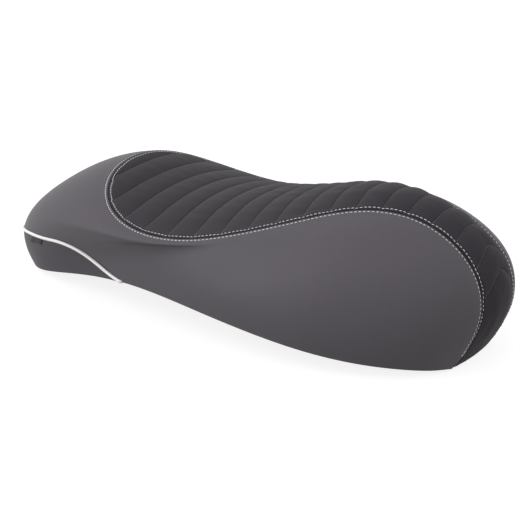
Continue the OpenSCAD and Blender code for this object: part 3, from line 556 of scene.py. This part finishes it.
def piping():
    """Piping cord: a round tube along the piping's line, both ends turned in under the rim."""
    t = np.concatenate([np.linspace(0, 2.4, 70), np.linspace(2.4, PIPING_END - 0.02, 90)[1:]])
    t = np.concatenate([-t[:0:-1], t])
    normal = side_normal(t, np.minimum(piping_q(t), 0.999))
    path = side_at(t, piping_q(t)) + normal * PIPING_PROUD
    tuck = np.array([1.5, 3, 4.5, 6, 8])
    for end, order in ((-1, 1), (0, -1)):
        heading = unit(path[end] - path[end - order])
        level = rim_in(t[[end]])[0]
        turn = np.clip(tuck / 5, 0, 1)[:, None]
        step = heading * (1 - turn) + level * turn
        more = path[end] + np.cumsum(step * np.diff(np.r_[0, tuck])[:, None], axis=0)
        more[:, 2] = np.maximum(more[:, 2], PIPING_D / 2 + 0.1)
        path = np.concatenate([path, more]) if end == -1 else np.concatenate([more[::-1], path])
        ups = np.repeat(normal[end][None], len(tuck), 0)
        normal = np.concatenate([normal, ups]) if end == -1 else np.concatenate([ups, normal])
    return tube_piece("piping_vinyl_cord", path, normal, PIPING_D / 2, 16)


def many_bars(name, points, smooth=True, uv=None):
    """Mesh of many closed bars: points[bar, ring, corner], with both ends of each capped."""
    count, rings, sides = points.shape[:3]
    offset = (np.arange(count) * rings * sides)[:, None, None]
    faces = (quads(rings, sides, wrap=True)[None] + offset).reshape(-1, 4).tolist()
    for cap in (np.arange(sides), np.arange(sides)[::-1] + (rings - 1) * sides):
        faces += (cap[None] + offset[:, 0]).tolist()
    return add_mesh(name, points.reshape(-1, 3), faces, smooth, uv)


def stitch_row(name, rows):
    """Stitches as short closed tubes: each lies along its row with both ends drawn into the cover. Its
    radius is r (1 - |w|^5)^(1/2) and its height r (0.35 - 1.4 |w|^3), with w from -1 to 1 along it.
    Each row is (path, normals, pitch, length, thread radius)."""
    w = np.array([-1, -0.9, -0.6, -0.2, 0.2, 0.6, 0.9, 1.0])
    turn = 2 * np.pi * np.arange(6) / 6
    blocks, flats = [], []
    for path, up, pitch, length, r in rows:
        run = run_length(path, 0)
        middles = np.arange(pitch * 0.6, run[-1] - pitch * 0.4, pitch)
        s = middles[:, None] + w[None] * length / 2
        centre = np.stack([np.interp(s, run, path[:, k]) for k in range(3)], -1)
        normal = unit(np.stack([np.interp(s, run, up[:, k]) for k in range(3)], -1))
        heading = unit(np.gradient(centre, axis=1))
        across = unit(np.cross(heading, normal))
        rise = np.cross(across, heading)
        size = r * np.sqrt(np.maximum(1 - np.abs(w) ** 5, 0.04))
        centre = centre + normal * (r * (0.35 - 1.4 * np.abs(w) ** 3))[None, :, None]
        ring = across[:, :, None] * np.cos(turn)[:, None] + rise[:, :, None] * np.sin(turn)[:, None]
        blocks.append(centre[:, :, None] + ring * size[None, :, None, None])
        flats.append(np.stack(np.broadcast_arrays(s[:, :, None], turn * r), -1))
    return many_bars(name, np.concatenate(blocks), uv=np.concatenate(flats).reshape(-1, 2) * MM)


def laid_on(points, grid, normals, batch=256):
    """Points moved onto the surface of a grid along the normal of the nearest grid point."""
    p, n = grid.reshape(-1, 3), normals.reshape(-1, 3)
    placed = []
    for start in range(0, len(points), batch):
        x = points[start:start + batch]
        k = np.argmin(((x[:, None] - p[None]) ** 2).sum(-1), axis=1)
        placed.append(x - n[k] * ((x - p[k]) * n[k]).sum(-1, keepdims=True))
    return np.concatenate(placed)


def seam_stitch_paths(panel, panel_n, side, side_n):
    """Lines of top stitching, STITCH_IN mm from the seam, on the centre panel and on the side cover."""
    t = np.linspace(-LAST + 0.25, LAST - 0.25, 1100)
    c = rail(SEAM, t)
    along = unit(rail(SEAM, t + STEP) - rail(SEAM, t - STEP))
    mitre = seam_mitre(t)
    away = unit(np.cross(mitre, along))
    return [(laid_on(c + away * way * STITCH_IN, grid, normals), mitre)
            for grid, normals, way in ((panel, panel_n, -1), (side, side_n, 1))]


panel_piece, panel_grid, panel_normals, panel_s, panel_up = centre_panel()
side_piece, side_grid, side_normals = side_cover()
skirt_piece = rear_skirt()
piping_piece = piping()
by_seam = slice(0, 22)
panel_stitch, side_stitch = seam_stitch_paths(
    panel_grid, panel_normals, side_grid[:, by_seam], side_normals[:, by_seam])
between_seams = slice(12, -12)
line_rows = []
for k in range(LINES):
    row = int(np.argmin(np.abs(panel_s - (FIRST_LINE + PITCH * k))))
    line_rows.append((panel_grid[row, between_seams], panel_up[row, between_seams], 3.6, 2.7, 0.3))
seam_thread = stitch_row("seam_stitches", [(*panel_stitch, 5.2, 4.1, 0.5), (*side_stitch, 5.2, 4.1, 0.6)])
line_thread = stitch_row("channel_stitches", line_rows)


def seat_foam():
    """Foam cushion: a closed ring of points at each station, just inside the covers and above the pan."""
    t = np.concatenate([np.linspace(0.06, 1, 12), np.linspace(1, 11.4, 90)[1:]])
    skin = COVER_T + FOAM_GAP + 0.3
    s = np.interp(t, middle_t, middle_run)
    v = np.linspace(-0.96, 0.96, 25)
    top = centre_at(t[:, None], v) - centre_normal(np.maximum(t, 0.1)[:, None] + 0 * v, v + 0 * t[:, None]) \
        * (padding(s[:, None], v) + skin + 0.3)[..., None]
    q = np.linspace(0.02, 0.9, 18)
    wall = side_at(t[:, None], q) - side_normal(t[:, None] + 0 * q, q + 0 * t[:, None]) * skin
    rim = rail(RIM, t)
    level = rim_in(t)
    ledge = []
    for inset, height in ((4, 7), (14.2, 5.9), (14.6, 23.8)):
        p = rim + level * inset
        p[:, 2] = np.maximum(arch(p[:, 0]) + height, 1)
        ledge.append(p)
    half = np.concatenate([wall, np.stack(ledge, 1)], 1)
    ring = np.concatenate([(half * [1, -1, 1])[:, ::-1], top, half], 1)
    n, m = ring.shape[:2]
    # Each end is a strip between the two halves of its ring, with a triangle at the middle point.
    k = np.arange(m // 2)
    strip = np.stack([k, k + 1, m - 2 - k, m - 1 - k], -1)
    ends = np.concatenate([strip, strip[:, ::-1] + (n - 1) * m]).tolist()
    faces = quads(n, m, wrap=True).tolist() + [list(dict.fromkeys(face)) for face in ends]
    return add_mesh("seat_foam_block", ring.reshape(-1, 3), faces)


foam_piece = seat_foam()


def tag_piece():
    """Blank woven tag: a strip folded double that hangs from the piping seam and curls out a little."""
    middle, width, length = -2.08, 27.0, 11.5
    along = np.linalg.norm(side_at(middle + STEP, 0.8) - side_at(middle - STEP, 0.8)) / (2 * STEP)
    down = np.linalg.norm(side_at(middle, 1.0) - side_at(middle, 0.0))
    u = np.linspace(-1, 1, 25)
    w = np.linspace(0, 1, 25)
    t = middle + u * width / 2 / along
    tt, qq = np.meshgrid(t, piping_q(middle) + (1.7 + w * length) / down, indexing="ij")
    n = side_normal(tt, qq)
    curl = 0.6 + 0.8 * w[None] ** 2 + 1.5 * w[None] * smooth_step(u, 0.1, 1)[:, None] + 0.15 * np.sin(
        3 * u[:, None] + 4 * w[None])
    mid = side_at(tt, qq) + n * curl[..., None]
    thick = 0.35 + 0.25 * np.exp(-((1 - w[None]) / 0.12) ** 2) - 0.2 * np.exp(-((1 - w[None]) / 0.03) ** 2)
    outer, inner = mid + n * thick[..., None], mid - n * thick[..., None]
    flat = np.stack(np.meshgrid(u * width / 2, w * length, indexing="ij"), -1) * MM
    return sheet_piece("tag_woven_blank", outer, inner, flat)


tag = tag_piece()


def staples():
    """Staples in the hem: flat bars with rounded ends across the hem, about 14 mm apart."""
    t = np.linspace(-LAST + 0.5, LAST - 0.5, 3000)
    rim = rail(RIM, t)
    run = run_length(rim, 0)
    at = np.arange(9, run[-1] - 5, 14.0)
    tt = np.interp(at, run, t)
    level = rim_in(tt)
    draw = np.random.default_rng(4)
    spin = draw.uniform(-0.25, 0.25, len(tt))
    along = unit(rail(RIM, tt + STEP) - rail(RIM, tt - STEP)) * [1, 1, 0]
    way = unit(along * np.cos(spin)[:, None] + level * np.sin(spin)[:, None])
    p = rail(RIM, tt) + level * (8.5 + draw.uniform(-0.8, 0.8, len(tt)))[:, None]
    p[:, 2] = arch(p[:, 0]) + 0.25
    w = np.array([-1, -0.97, -0.85, 0.85, 0.97, 1])
    drop = np.array([0.9, 0.35, 0, 0, 0.35, 0.9])
    centre = p[:, None] + way[:, None] * (w * 5)[None, :, None] + np.array([0, 0, 1.0]) * drop[None, :, None]
    side = np.cross(way, [0, 0, 1.0])
    box = np.array([[-0.55, -0.18], [0.55, -0.18], [0.55, 0.3], [-0.55, 0.3]])
    ring = side[:, None, None] * box[None, None, :, :1] + np.array([0, 0, 1.0]) * box[None, None, :, 1:]
    return many_bars("hem_staples", centre[:, :, None] + ring, smooth=False)


staple_piece = staples()


# Shader groups and materials.
class Tree:
    """A node tree with short calls: add(kind, inputs, **settings) returns the node."""

    def __init__(self, tree):
        self.tree = tree

    def add(self, kind, inputs=None, **settings):
        node = self.tree.nodes.new(kind)
        for name, value in settings.items():
            setattr(node, name, value)
        for name, value in (inputs or {}).items():
            target = node.inputs[name]
            if isinstance(value, bpy.types.NodeSocket):
                self.tree.links.new(value, target)
            else:
                target.default_value = value
        return node

    def math(self, operation, a, b=0.0, c=0.0):
        return self.add("ShaderNodeMath", {0: a, 1: b, 2: c}, operation=operation).outputs[0]

    def mix(self, factor, a, b):
        node = self.add("ShaderNodeMix", data_type="RGBA")
        for index, value in ((0, factor), (6, a), (7, b)):
            if isinstance(value, bpy.types.NodeSocket):
                self.tree.links.new(value, node.inputs[index])
            else:
                node.inputs[index].default_value = value
        return node.outputs[2]


def shader_group(name, inputs, outputs):
    """(tree, its input sockets, its output node) of a new node group with named float or vector sockets."""
    tree = bpy.data.node_groups.new(name, "ShaderNodeTree")
    for label, kind, value in inputs:
        made = tree.interface.new_socket(name=label, in_out="INPUT", socket_type=kind)
        if value is not None:
            made.default_value = value
    for label, kind in outputs:
        tree.interface.new_socket(name=label, in_out="OUTPUT", socket_type=kind)
    t = Tree(tree)
    return t, t.add("NodeGroupInput").outputs, t.add("NodeGroupOutput")


FLOAT, VECTOR = "NodeSocketFloat", "NodeSocketVector"


def make_leather_grain():
    """Pebbled grain: soft Voronoi cells of the given size, broken up by noise, and a pore mask."""
    t, given, result = shader_group("leather_grain", [("Place", VECTOR, None), ("Cell", FLOAT, 900.0)],
                                    [("Height", FLOAT), ("Tone", FLOAT)])
    bend = t.add("ShaderNodeTexNoise", {"Vector": given["Place"], "Scale": 260.0, "Detail": 2.0})
    moved = t.add("ShaderNodeVectorMath", {0: bend.outputs["Color"], 1: (0.0011, 0.0011, 0.0011)},
                  operation="MULTIPLY")
    place = t.add("ShaderNodeVectorMath", {0: given["Place"], 1: moved.outputs[0]}, operation="ADD")
    cells = t.add("ShaderNodeTexVoronoi", {"Vector": place.outputs[0], "Scale": given["Cell"]},
                  feature="DISTANCE_TO_EDGE")
    dome = t.add("ShaderNodeMapRange", {"Value": cells.outputs["Distance"], "From Max": 0.32},
                 interpolation_type="SMOOTHSTEP")
    fine = t.add("ShaderNodeTexNoise", {"Vector": given["Place"], "Scale": 3200.0, "Detail": 3.0})
    height = t.math("MULTIPLY_ADD", fine.outputs["Fac"], 0.25, dome.outputs[0])
    t.tree.links.new(height, result.inputs["Height"])
    t.tree.links.new(dome.outputs[0], result.inputs["Tone"])
    return t.tree


def make_cloth_weave():
    """Twill weave on flat coordinates: two crossing sets of threads of the given count per metre."""
    t, given, result = shader_group("cloth_weave", [("Flat", VECTOR, None), ("Threads", FLOAT, 1100.0)],
                                    [("Height", FLOAT), ("Mask", FLOAT)])
    parts = t.add("ShaderNodeSeparateXYZ", {0: given["Flat"]})
    wobble = t.add("ShaderNodeTexNoise", {"Vector": given["Flat"], "Scale": 130.0, "Detail": 2.0})
    turns = t.math("MULTIPLY", given["Threads"], 2 * math.pi)
    off = t.math("MULTIPLY", wobble.outputs["Fac"], 5.0)
    u = t.math("MULTIPLY_ADD", parts.outputs[0], turns, off)
    v = t.math("MULTIPLY_ADD", parts.outputs[1], turns, off)
    warp = t.math("ABSOLUTE", t.math("SINE", t.math("MULTIPLY", u, 0.5)))
    weft = t.math("ABSOLUTE", t.math("SINE", t.math("MULTIPLY", v, 0.5)))
    over = t.math("SINE", t.math("MULTIPLY", t.math("ADD", u, v), 0.5))
    mask = t.math("MULTIPLY_ADD", over, 0.5, 0.5)
    height = t.math("ADD", t.math("MULTIPLY", warp, mask),
                    t.math("MULTIPLY", weft, t.math("SUBTRACT", 1.0, mask)))
    t.tree.links.new(height, result.inputs["Height"])
    t.tree.links.new(mask, result.inputs["Mask"])
    return t.tree


def make_mottle():
    """Slow change of tone over a surface: broad and medium noise, from 0 to 1."""
    t, given, result = shader_group("mottle", [("Place", VECTOR, None), ("Broad", FLOAT, 9.0),
                                               ("Medium", FLOAT, 60.0)], [("Tone", FLOAT)])
    broad = t.add("ShaderNodeTexNoise", {"Vector": given["Place"], "Scale": given["Broad"], "Detail": 3.0})
    medium = t.add("ShaderNodeTexNoise", {"Vector": given["Place"], "Scale": given["Medium"], "Detail": 4.0})
    tone = t.math("MULTIPLY_ADD", broad.outputs["Fac"], 0.6, t.math("MULTIPLY", medium.outputs["Fac"], 0.4))
    t.tree.links.new(tone, result.inputs["Tone"])
    return t.tree


def make_metal_wear():
    """Rubbed spots: two noises cut at a level, so that the mask shows small bright or worn patches."""
    t, given, result = shader_group("metal_wear", [("Place", VECTOR, None), ("Spots", FLOAT, 220.0),
                                                   ("Level", FLOAT, 0.6)],
                                    [("Mask", FLOAT), ("Height", FLOAT)])
    a = t.add("ShaderNodeTexNoise", {"Vector": given["Place"], "Scale": given["Spots"], "Detail": 5.0})
    b = t.add("ShaderNodeTexNoise", {"Vector": given["Place"], "Scale": 1500.0, "Detail": 2.0})
    both = t.math("MULTIPLY_ADD", b.outputs["Fac"], 0.25, t.math("MULTIPLY", a.outputs["Fac"], 0.85))
    cut = t.add("ShaderNodeMapRange", {"Value": both, "From Min": given["Level"],
                                       "From Max": t.math("ADD", given["Level"], 0.08)})
    t.tree.links.new(cut.outputs[0], result.inputs["Mask"])
    t.tree.links.new(b.outputs["Fac"], result.inputs["Height"])
    return t.tree


LEATHER_GRAIN, CLOTH_WEAVE, MOTTLE, METAL_WEAR = (
    make_leather_grain(), make_cloth_weave(), make_mottle(), make_metal_wear())


def start_material(name):
    """(material, its tree, its Principled BSDF, its texture coordinates)."""
    material = bpy.data.materials.new(name)
    material.use_nodes = True
    t = Tree(material.node_tree)
    shader = material.node_tree.nodes["Principled BSDF"]
    place = t.add("ShaderNodeTexCoord").outputs
    return material, t, shader, place


def use_group(t, group, inputs):
    return t.add("ShaderNodeGroup", inputs, node_tree=group)


def rgba(colour):
    return (*colour, 1.0)


def shaded(colour, factor):
    return rgba(tuple(c * factor for c in colour))


def finish_material(t, shader, colour, roughness, height, bump, distance, **fixed):
    """Links colour, roughness and bump to the shader and sets its fixed inputs, named with _ for spaces."""
    links = t.tree.links
    links.new(colour, shader.inputs["Base Color"])
    links.new(roughness, shader.inputs["Roughness"])
    node = t.add("ShaderNodeBump", {"Height": height, "Strength": bump, "Distance": distance})
    links.new(node.outputs[0], shader.inputs["Normal"])
    for name, value in fixed.items():
        shader.inputs[name.replace("_", " ")].default_value = value


def vinyl(name, colour, cell=850.0, rough=0.5, bump=0.3, specular=0.5):
    """Coated vinyl with pebbled grain: pores slightly darker, tone and gloss drifting slowly."""
    material, t, shader, place = start_material(name)
    grain = use_group(t, LEATHER_GRAIN, {"Place": place["Object"], "Cell": cell})
    tone = use_group(t, MOTTLE, {"Place": place["Object"]})
    base = t.mix(tone.outputs["Tone"], shaded(colour, 0.93), shaded(colour, 1.07))
    pore = t.math("MULTIPLY", t.math("SUBTRACT", 1.0, grain.outputs["Tone"]), 0.3)
    base = t.mix(pore, base, shaded(colour, 0.6))
    roughness = t.math("MULTIPLY_ADD", tone.outputs["Tone"], 0.12, rough - 0.06)
    finish_material(t, shader, base, roughness, grain.outputs["Height"], bump, 0.00012,
                    Specular_IOR_Level=specular)
    return material


def channel_fabric(name, colour):
    """Matt woven textile: twill on the panel's flat coordinates and flecked threads."""
    material, t, shader, place = start_material(name)
    weave = use_group(t, CLOTH_WEAVE, {"Flat": place["UV"], "Threads": 1150.0})
    tone = use_group(t, MOTTLE, {"Place": place["Object"], "Broad": 14.0, "Medium": 120.0})
    fleck = t.add("ShaderNodeTexNoise", {"Vector": place["Object"], "Scale": 1900.0, "Detail": 2.0})
    base = t.mix(tone.outputs["Tone"], shaded(colour, 0.84), shaded(colour, 1.18))
    base = t.mix(t.math("MULTIPLY", weave.outputs["Mask"], 0.35), base, shaded(colour, 1.35))
    base = t.mix(t.math("MULTIPLY", fleck.outputs["Fac"], 0.4), base, shaded(colour, 0.7))
    roughness = t.math("MULTIPLY_ADD", tone.outputs["Tone"], 0.1, 0.8)
    height = t.math("MULTIPLY_ADD", fleck.outputs["Fac"], 0.5, weave.outputs["Height"])
    finish_material(t, shader, base, roughness, height, 0.35, 0.0002, Specular_IOR_Level=0.18,
                    Sheen_Weight=0.06, Sheen_Roughness=0.6)
    return material


def thread(name, colour):
    """Twisted thread: slanting ridges on the thread's own flat coordinates."""
    material, t, shader, place = start_material(name)
    parts = t.add("ShaderNodeSeparateXYZ", {0: place["UV"]})
    lay = t.math("MULTIPLY", t.math("ADD", parts.outputs[0], parts.outputs[1]), 2 * math.pi * 1100)
    ridge = t.math("MULTIPLY_ADD", t.math("SINE", lay), 0.5, 0.5)
    base = t.mix(ridge, shaded(colour, 0.72), shaded(colour, 1.0))
    roughness = t.math("MULTIPLY_ADD", ridge, 0.1, 0.55)
    finish_material(t, shader, base, roughness, ridge, 0.4, 0.00015, Specular_IOR_Level=0.35)
    return material


def plastic(name, colour, rough, cell, bump):
    """Moulded plastic or rubber: fine grain, tone and gloss drifting slowly."""
    material, t, shader, place = start_material(name)
    grain = use_group(t, LEATHER_GRAIN, {"Place": place["Object"], "Cell": cell})
    tone = use_group(t, MOTTLE, {"Place": place["Object"], "Broad": 12.0, "Medium": 90.0})
    base = t.mix(tone.outputs["Tone"], shaded(colour, 0.8), shaded(colour, 1.3))
    roughness = t.math("MULTIPLY_ADD", tone.outputs["Tone"], 0.18, rough - 0.09)
    finish_material(t, shader, base, roughness, grain.outputs["Height"], bump, 0.0001)
    return material


def metal(name, colour, worn, rough, metallic, level, bump=0.1):
    """Plated or painted steel: blotchy tone, rubbed spots of another colour and a fine uneven skin."""
    material, t, shader, place = start_material(name)
    wear = use_group(t, METAL_WEAR, {"Place": place["Object"], "Level": level})
    tone = use_group(t, MOTTLE, {"Place": place["Object"], "Broad": 40.0, "Medium": 260.0})
    base = t.mix(tone.outputs["Tone"], shaded(colour, 0.82), shaded(colour, 1.15))
    base = t.mix(wear.outputs["Mask"], base, rgba(worn))
    roughness = t.math("MULTIPLY_ADD", tone.outputs["Tone"], 0.2, rough - 0.1)
    finish_material(t, shader, base, roughness, wear.outputs["Height"], bump, 0.0001, Metallic=metallic)
    return material


def open_foam(name, colour):
    """Open-cell foam: small Voronoi cells, darker inside."""
    material, t, shader, place = start_material(name)
    cells = t.add("ShaderNodeTexVoronoi", {"Vector": place["Object"], "Scale": 1100.0})
    tone = use_group(t, MOTTLE, {"Place": place["Object"]})
    base = t.mix(cells.outputs["Distance"], shaded(colour, 1.05), shaded(colour, 0.6))
    base = t.mix(t.math("MULTIPLY", tone.outputs["Tone"], 0.4), base, shaded(colour, 0.85))
    roughness = t.math("MULTIPLY_ADD", tone.outputs["Tone"], 0.05, 0.92)
    finish_material(t, shader, base, roughness, cells.outputs["Distance"], 0.5, 0.0005)
    return material


def ribbon(name, colour):
    """Woven ribbon: fine twill on the tag's flat coordinates."""
    material, t, shader, place = start_material(name)
    weave = use_group(t, CLOTH_WEAVE, {"Flat": place["UV"], "Threads": 2200.0})
    tone = use_group(t, MOTTLE, {"Place": place["Object"], "Broad": 200.0, "Medium": 900.0})
    base = t.mix(weave.outputs["Mask"], shaded(colour, 0.7), shaded(colour, 1.5))
    roughness = t.math("MULTIPLY_ADD", tone.outputs["Tone"], 0.1, 0.6)
    finish_material(t, shader, base, roughness, weave.outputs["Height"], 0.4, 0.00012)
    return material


SIDE = vinyl("side_cover_vinyl", (0.092, 0.083, 0.096), specular=0.25)
SKIRT = vinyl("rear_skirt_vinyl", (0.068, 0.062, 0.073), rough=0.55, specular=0.25)
PANEL = channel_fabric("channelled_fabric", (0.032, 0.027, 0.034))
SEAM_THREAD = thread("white_seam_thread", (0.78, 0.76, 0.77))
LINE_THREAD = thread("grey_channel_thread", (0.22, 0.2, 0.21))
PIPING = vinyl("white_piping_vinyl", (0.93, 0.92, 0.91), cell=2200.0, rough=0.4, bump=0.06)
TAG = ribbon("black_woven_ribbon", (0.013, 0.013, 0.015))
FOAM = open_foam("open_cell_foam", (0.75, 0.68, 0.45))
PAN = plastic("moulded_black_plastic", (0.028, 0.028, 0.03), 0.55, 700.0, 0.2)
RUBBER = plastic("moulded_rubber", (0.02, 0.02, 0.021), 0.8, 1500.0, 0.12)
BLACK_STEEL = metal("black_coated_steel", (0.03, 0.03, 0.032), (0.3, 0.29, 0.28), 0.4, 0.0, 0.68)
ZINC = metal("zinc_plated_steel", (0.55, 0.55, 0.52), (0.4, 0.37, 0.3), 0.35, 1.0, 0.62)
STRIKER = metal("plated_striker_steel", (0.6, 0.6, 0.58), (0.7, 0.7, 0.7), 0.28, 1.0, 0.58)
BRASS = metal("turned_brass", (0.65, 0.46, 0.18), (0.45, 0.3, 0.12), 0.3, 1.0, 0.6)
STAPLE = metal("staple_wire", (0.62, 0.62, 0.6), (0.4, 0.38, 0.36), 0.3, 1.0, 0.64, 0.05)

NODE_FINISH = {"seat_pan": PAN, "hinge_bracket": BLACK_STEEL, "hinge_bolts": ZINC, "striker_bolts": ZINC,
               "latch_striker": STRIKER, "threaded_inserts": BRASS, "buffer_rear_left": RUBBER,
               "buffer_rear_right": RUBBER, "buffer_front_left": RUBBER, "buffer_front_right": RUBBER}
for name, material in NODE_FINISH.items():
    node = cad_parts[name]
    node.data.materials.clear()
    node.data.materials.append(material)


def dress(piece, material, slot_name, *nodes):
    """Gives a piece its material, ties it to the body and hides the CAD nodes it replaces. slot_name is not
    used.
    """
    piece.data.materials.append(material)
    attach(piece, "root")
    if nodes:
        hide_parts(*nodes)


dress(panel_piece, PANEL, "channel_fabric", "centre_panel")
dress(side_piece, SIDE, "side_vinyl", "side_cover")
dress(skirt_piece, SKIRT, "skirt_vinyl", "rear_skirt")
dress(piping_piece, PIPING, "piping_vinyl", "piping_cord")
dress(tag, TAG, "tag_fabric", "label_tag")
dress(foam_piece, FOAM, "seat_foam", "foam_cushion")
dress(seam_thread, SEAM_THREAD, "piping_vinyl")
dress(line_thread, LINE_THREAD, "channel_fabric")
dress(staple_piece, STAPLE, "zinc_steel")


# Stage: white floor, white backdrop from the world, two soft lamps.
def seen_rays(t):
    """1 for rays from the camera, in reflections and through glass, 0 for the light that things give off."""
    rays = t.add("ShaderNodeLightPath").outputs
    bent = t.math("MAXIMUM", rays["Is Glossy Ray"], rays["Is Transmission Ray"])
    return t.math("MAXIMUM", rays["Is Camera Ray"], bent)


def add_floor():
    """White floor that keeps a soft shadow: it glows where it is seen and gives off little light."""
    points = np.array([[-4000, -4000, 0], [4000, -4000, 0], [4000, 4000, 0], [-4000, 4000, 0]], float)
    floor = add_mesh("floor", points, [[0, 1, 2, 3]])
    material = bpy.data.materials.new("pale_floor")
    material.use_nodes = True
    t = Tree(material.node_tree)
    nodes = material.node_tree.nodes
    shader = nodes["Principled BSDF"]
    shader.inputs["Roughness"].default_value = 0.9
    shader.inputs["Specular IOR Level"].default_value = 0.0
    glow = t.add("ShaderNodeEmission", {"Color": (1, 1, 1, 1), "Strength": 1.2})
    seen = seen_rays(t)
    t.tree.links.new(t.mix(seen, (0.22, 0.22, 0.22, 1), (0.82, 0.82, 0.82, 1)), shader.inputs["Base Color"])
    share = t.math("MULTIPLY", seen, 0.7)
    mixed = t.add("ShaderNodeMixShader", {0: share, 1: shader.outputs[0], 2: glow.outputs[0]})
    t.tree.links.new(mixed.outputs[0], nodes["Material Output"].inputs[0])
    floor.data.materials.append(material)


def add_world():
    """Even white light from all round, which is the backdrop too."""
    world = bpy.data.worlds.new("studio")
    world.use_nodes = True
    background = world.node_tree.nodes["Background"]
    background.inputs["Color"].default_value = (1, 1, 1, 1)
    background.inputs["Strength"].default_value = 1.0
    bpy.context.scene.world = world


def add_lamp(name, place, aim, size, power):
    """Disk lamp of the given size in metres and power in watts at a place, turned towards aim."""
    data = bpy.data.lights.new(name, "AREA")
    data.shape = "DISK"
    data.size = size
    data.energy = power
    lamp = bpy.data.objects.new(name, data)
    bpy.context.scene.collection.objects.link(lamp)
    lamp.location = place
    lamp.rotation_mode = "QUATERNION"
    lamp.rotation_quaternion = (Vector(place) - Vector(aim)).to_track_quat("Z", "Y")


add_floor()
add_world()
add_lamp("low_lamp", (-1.66, -1.66, 0.55), (0, 0, 0.08), 1.2, 12)
add_lamp("high_lamp", (-1.3, -1.3, 1.59), (0, 0, 0.08), 1.2, 8)

scene = bpy.context.scene
scene.view_settings.view_transform = "Standard"
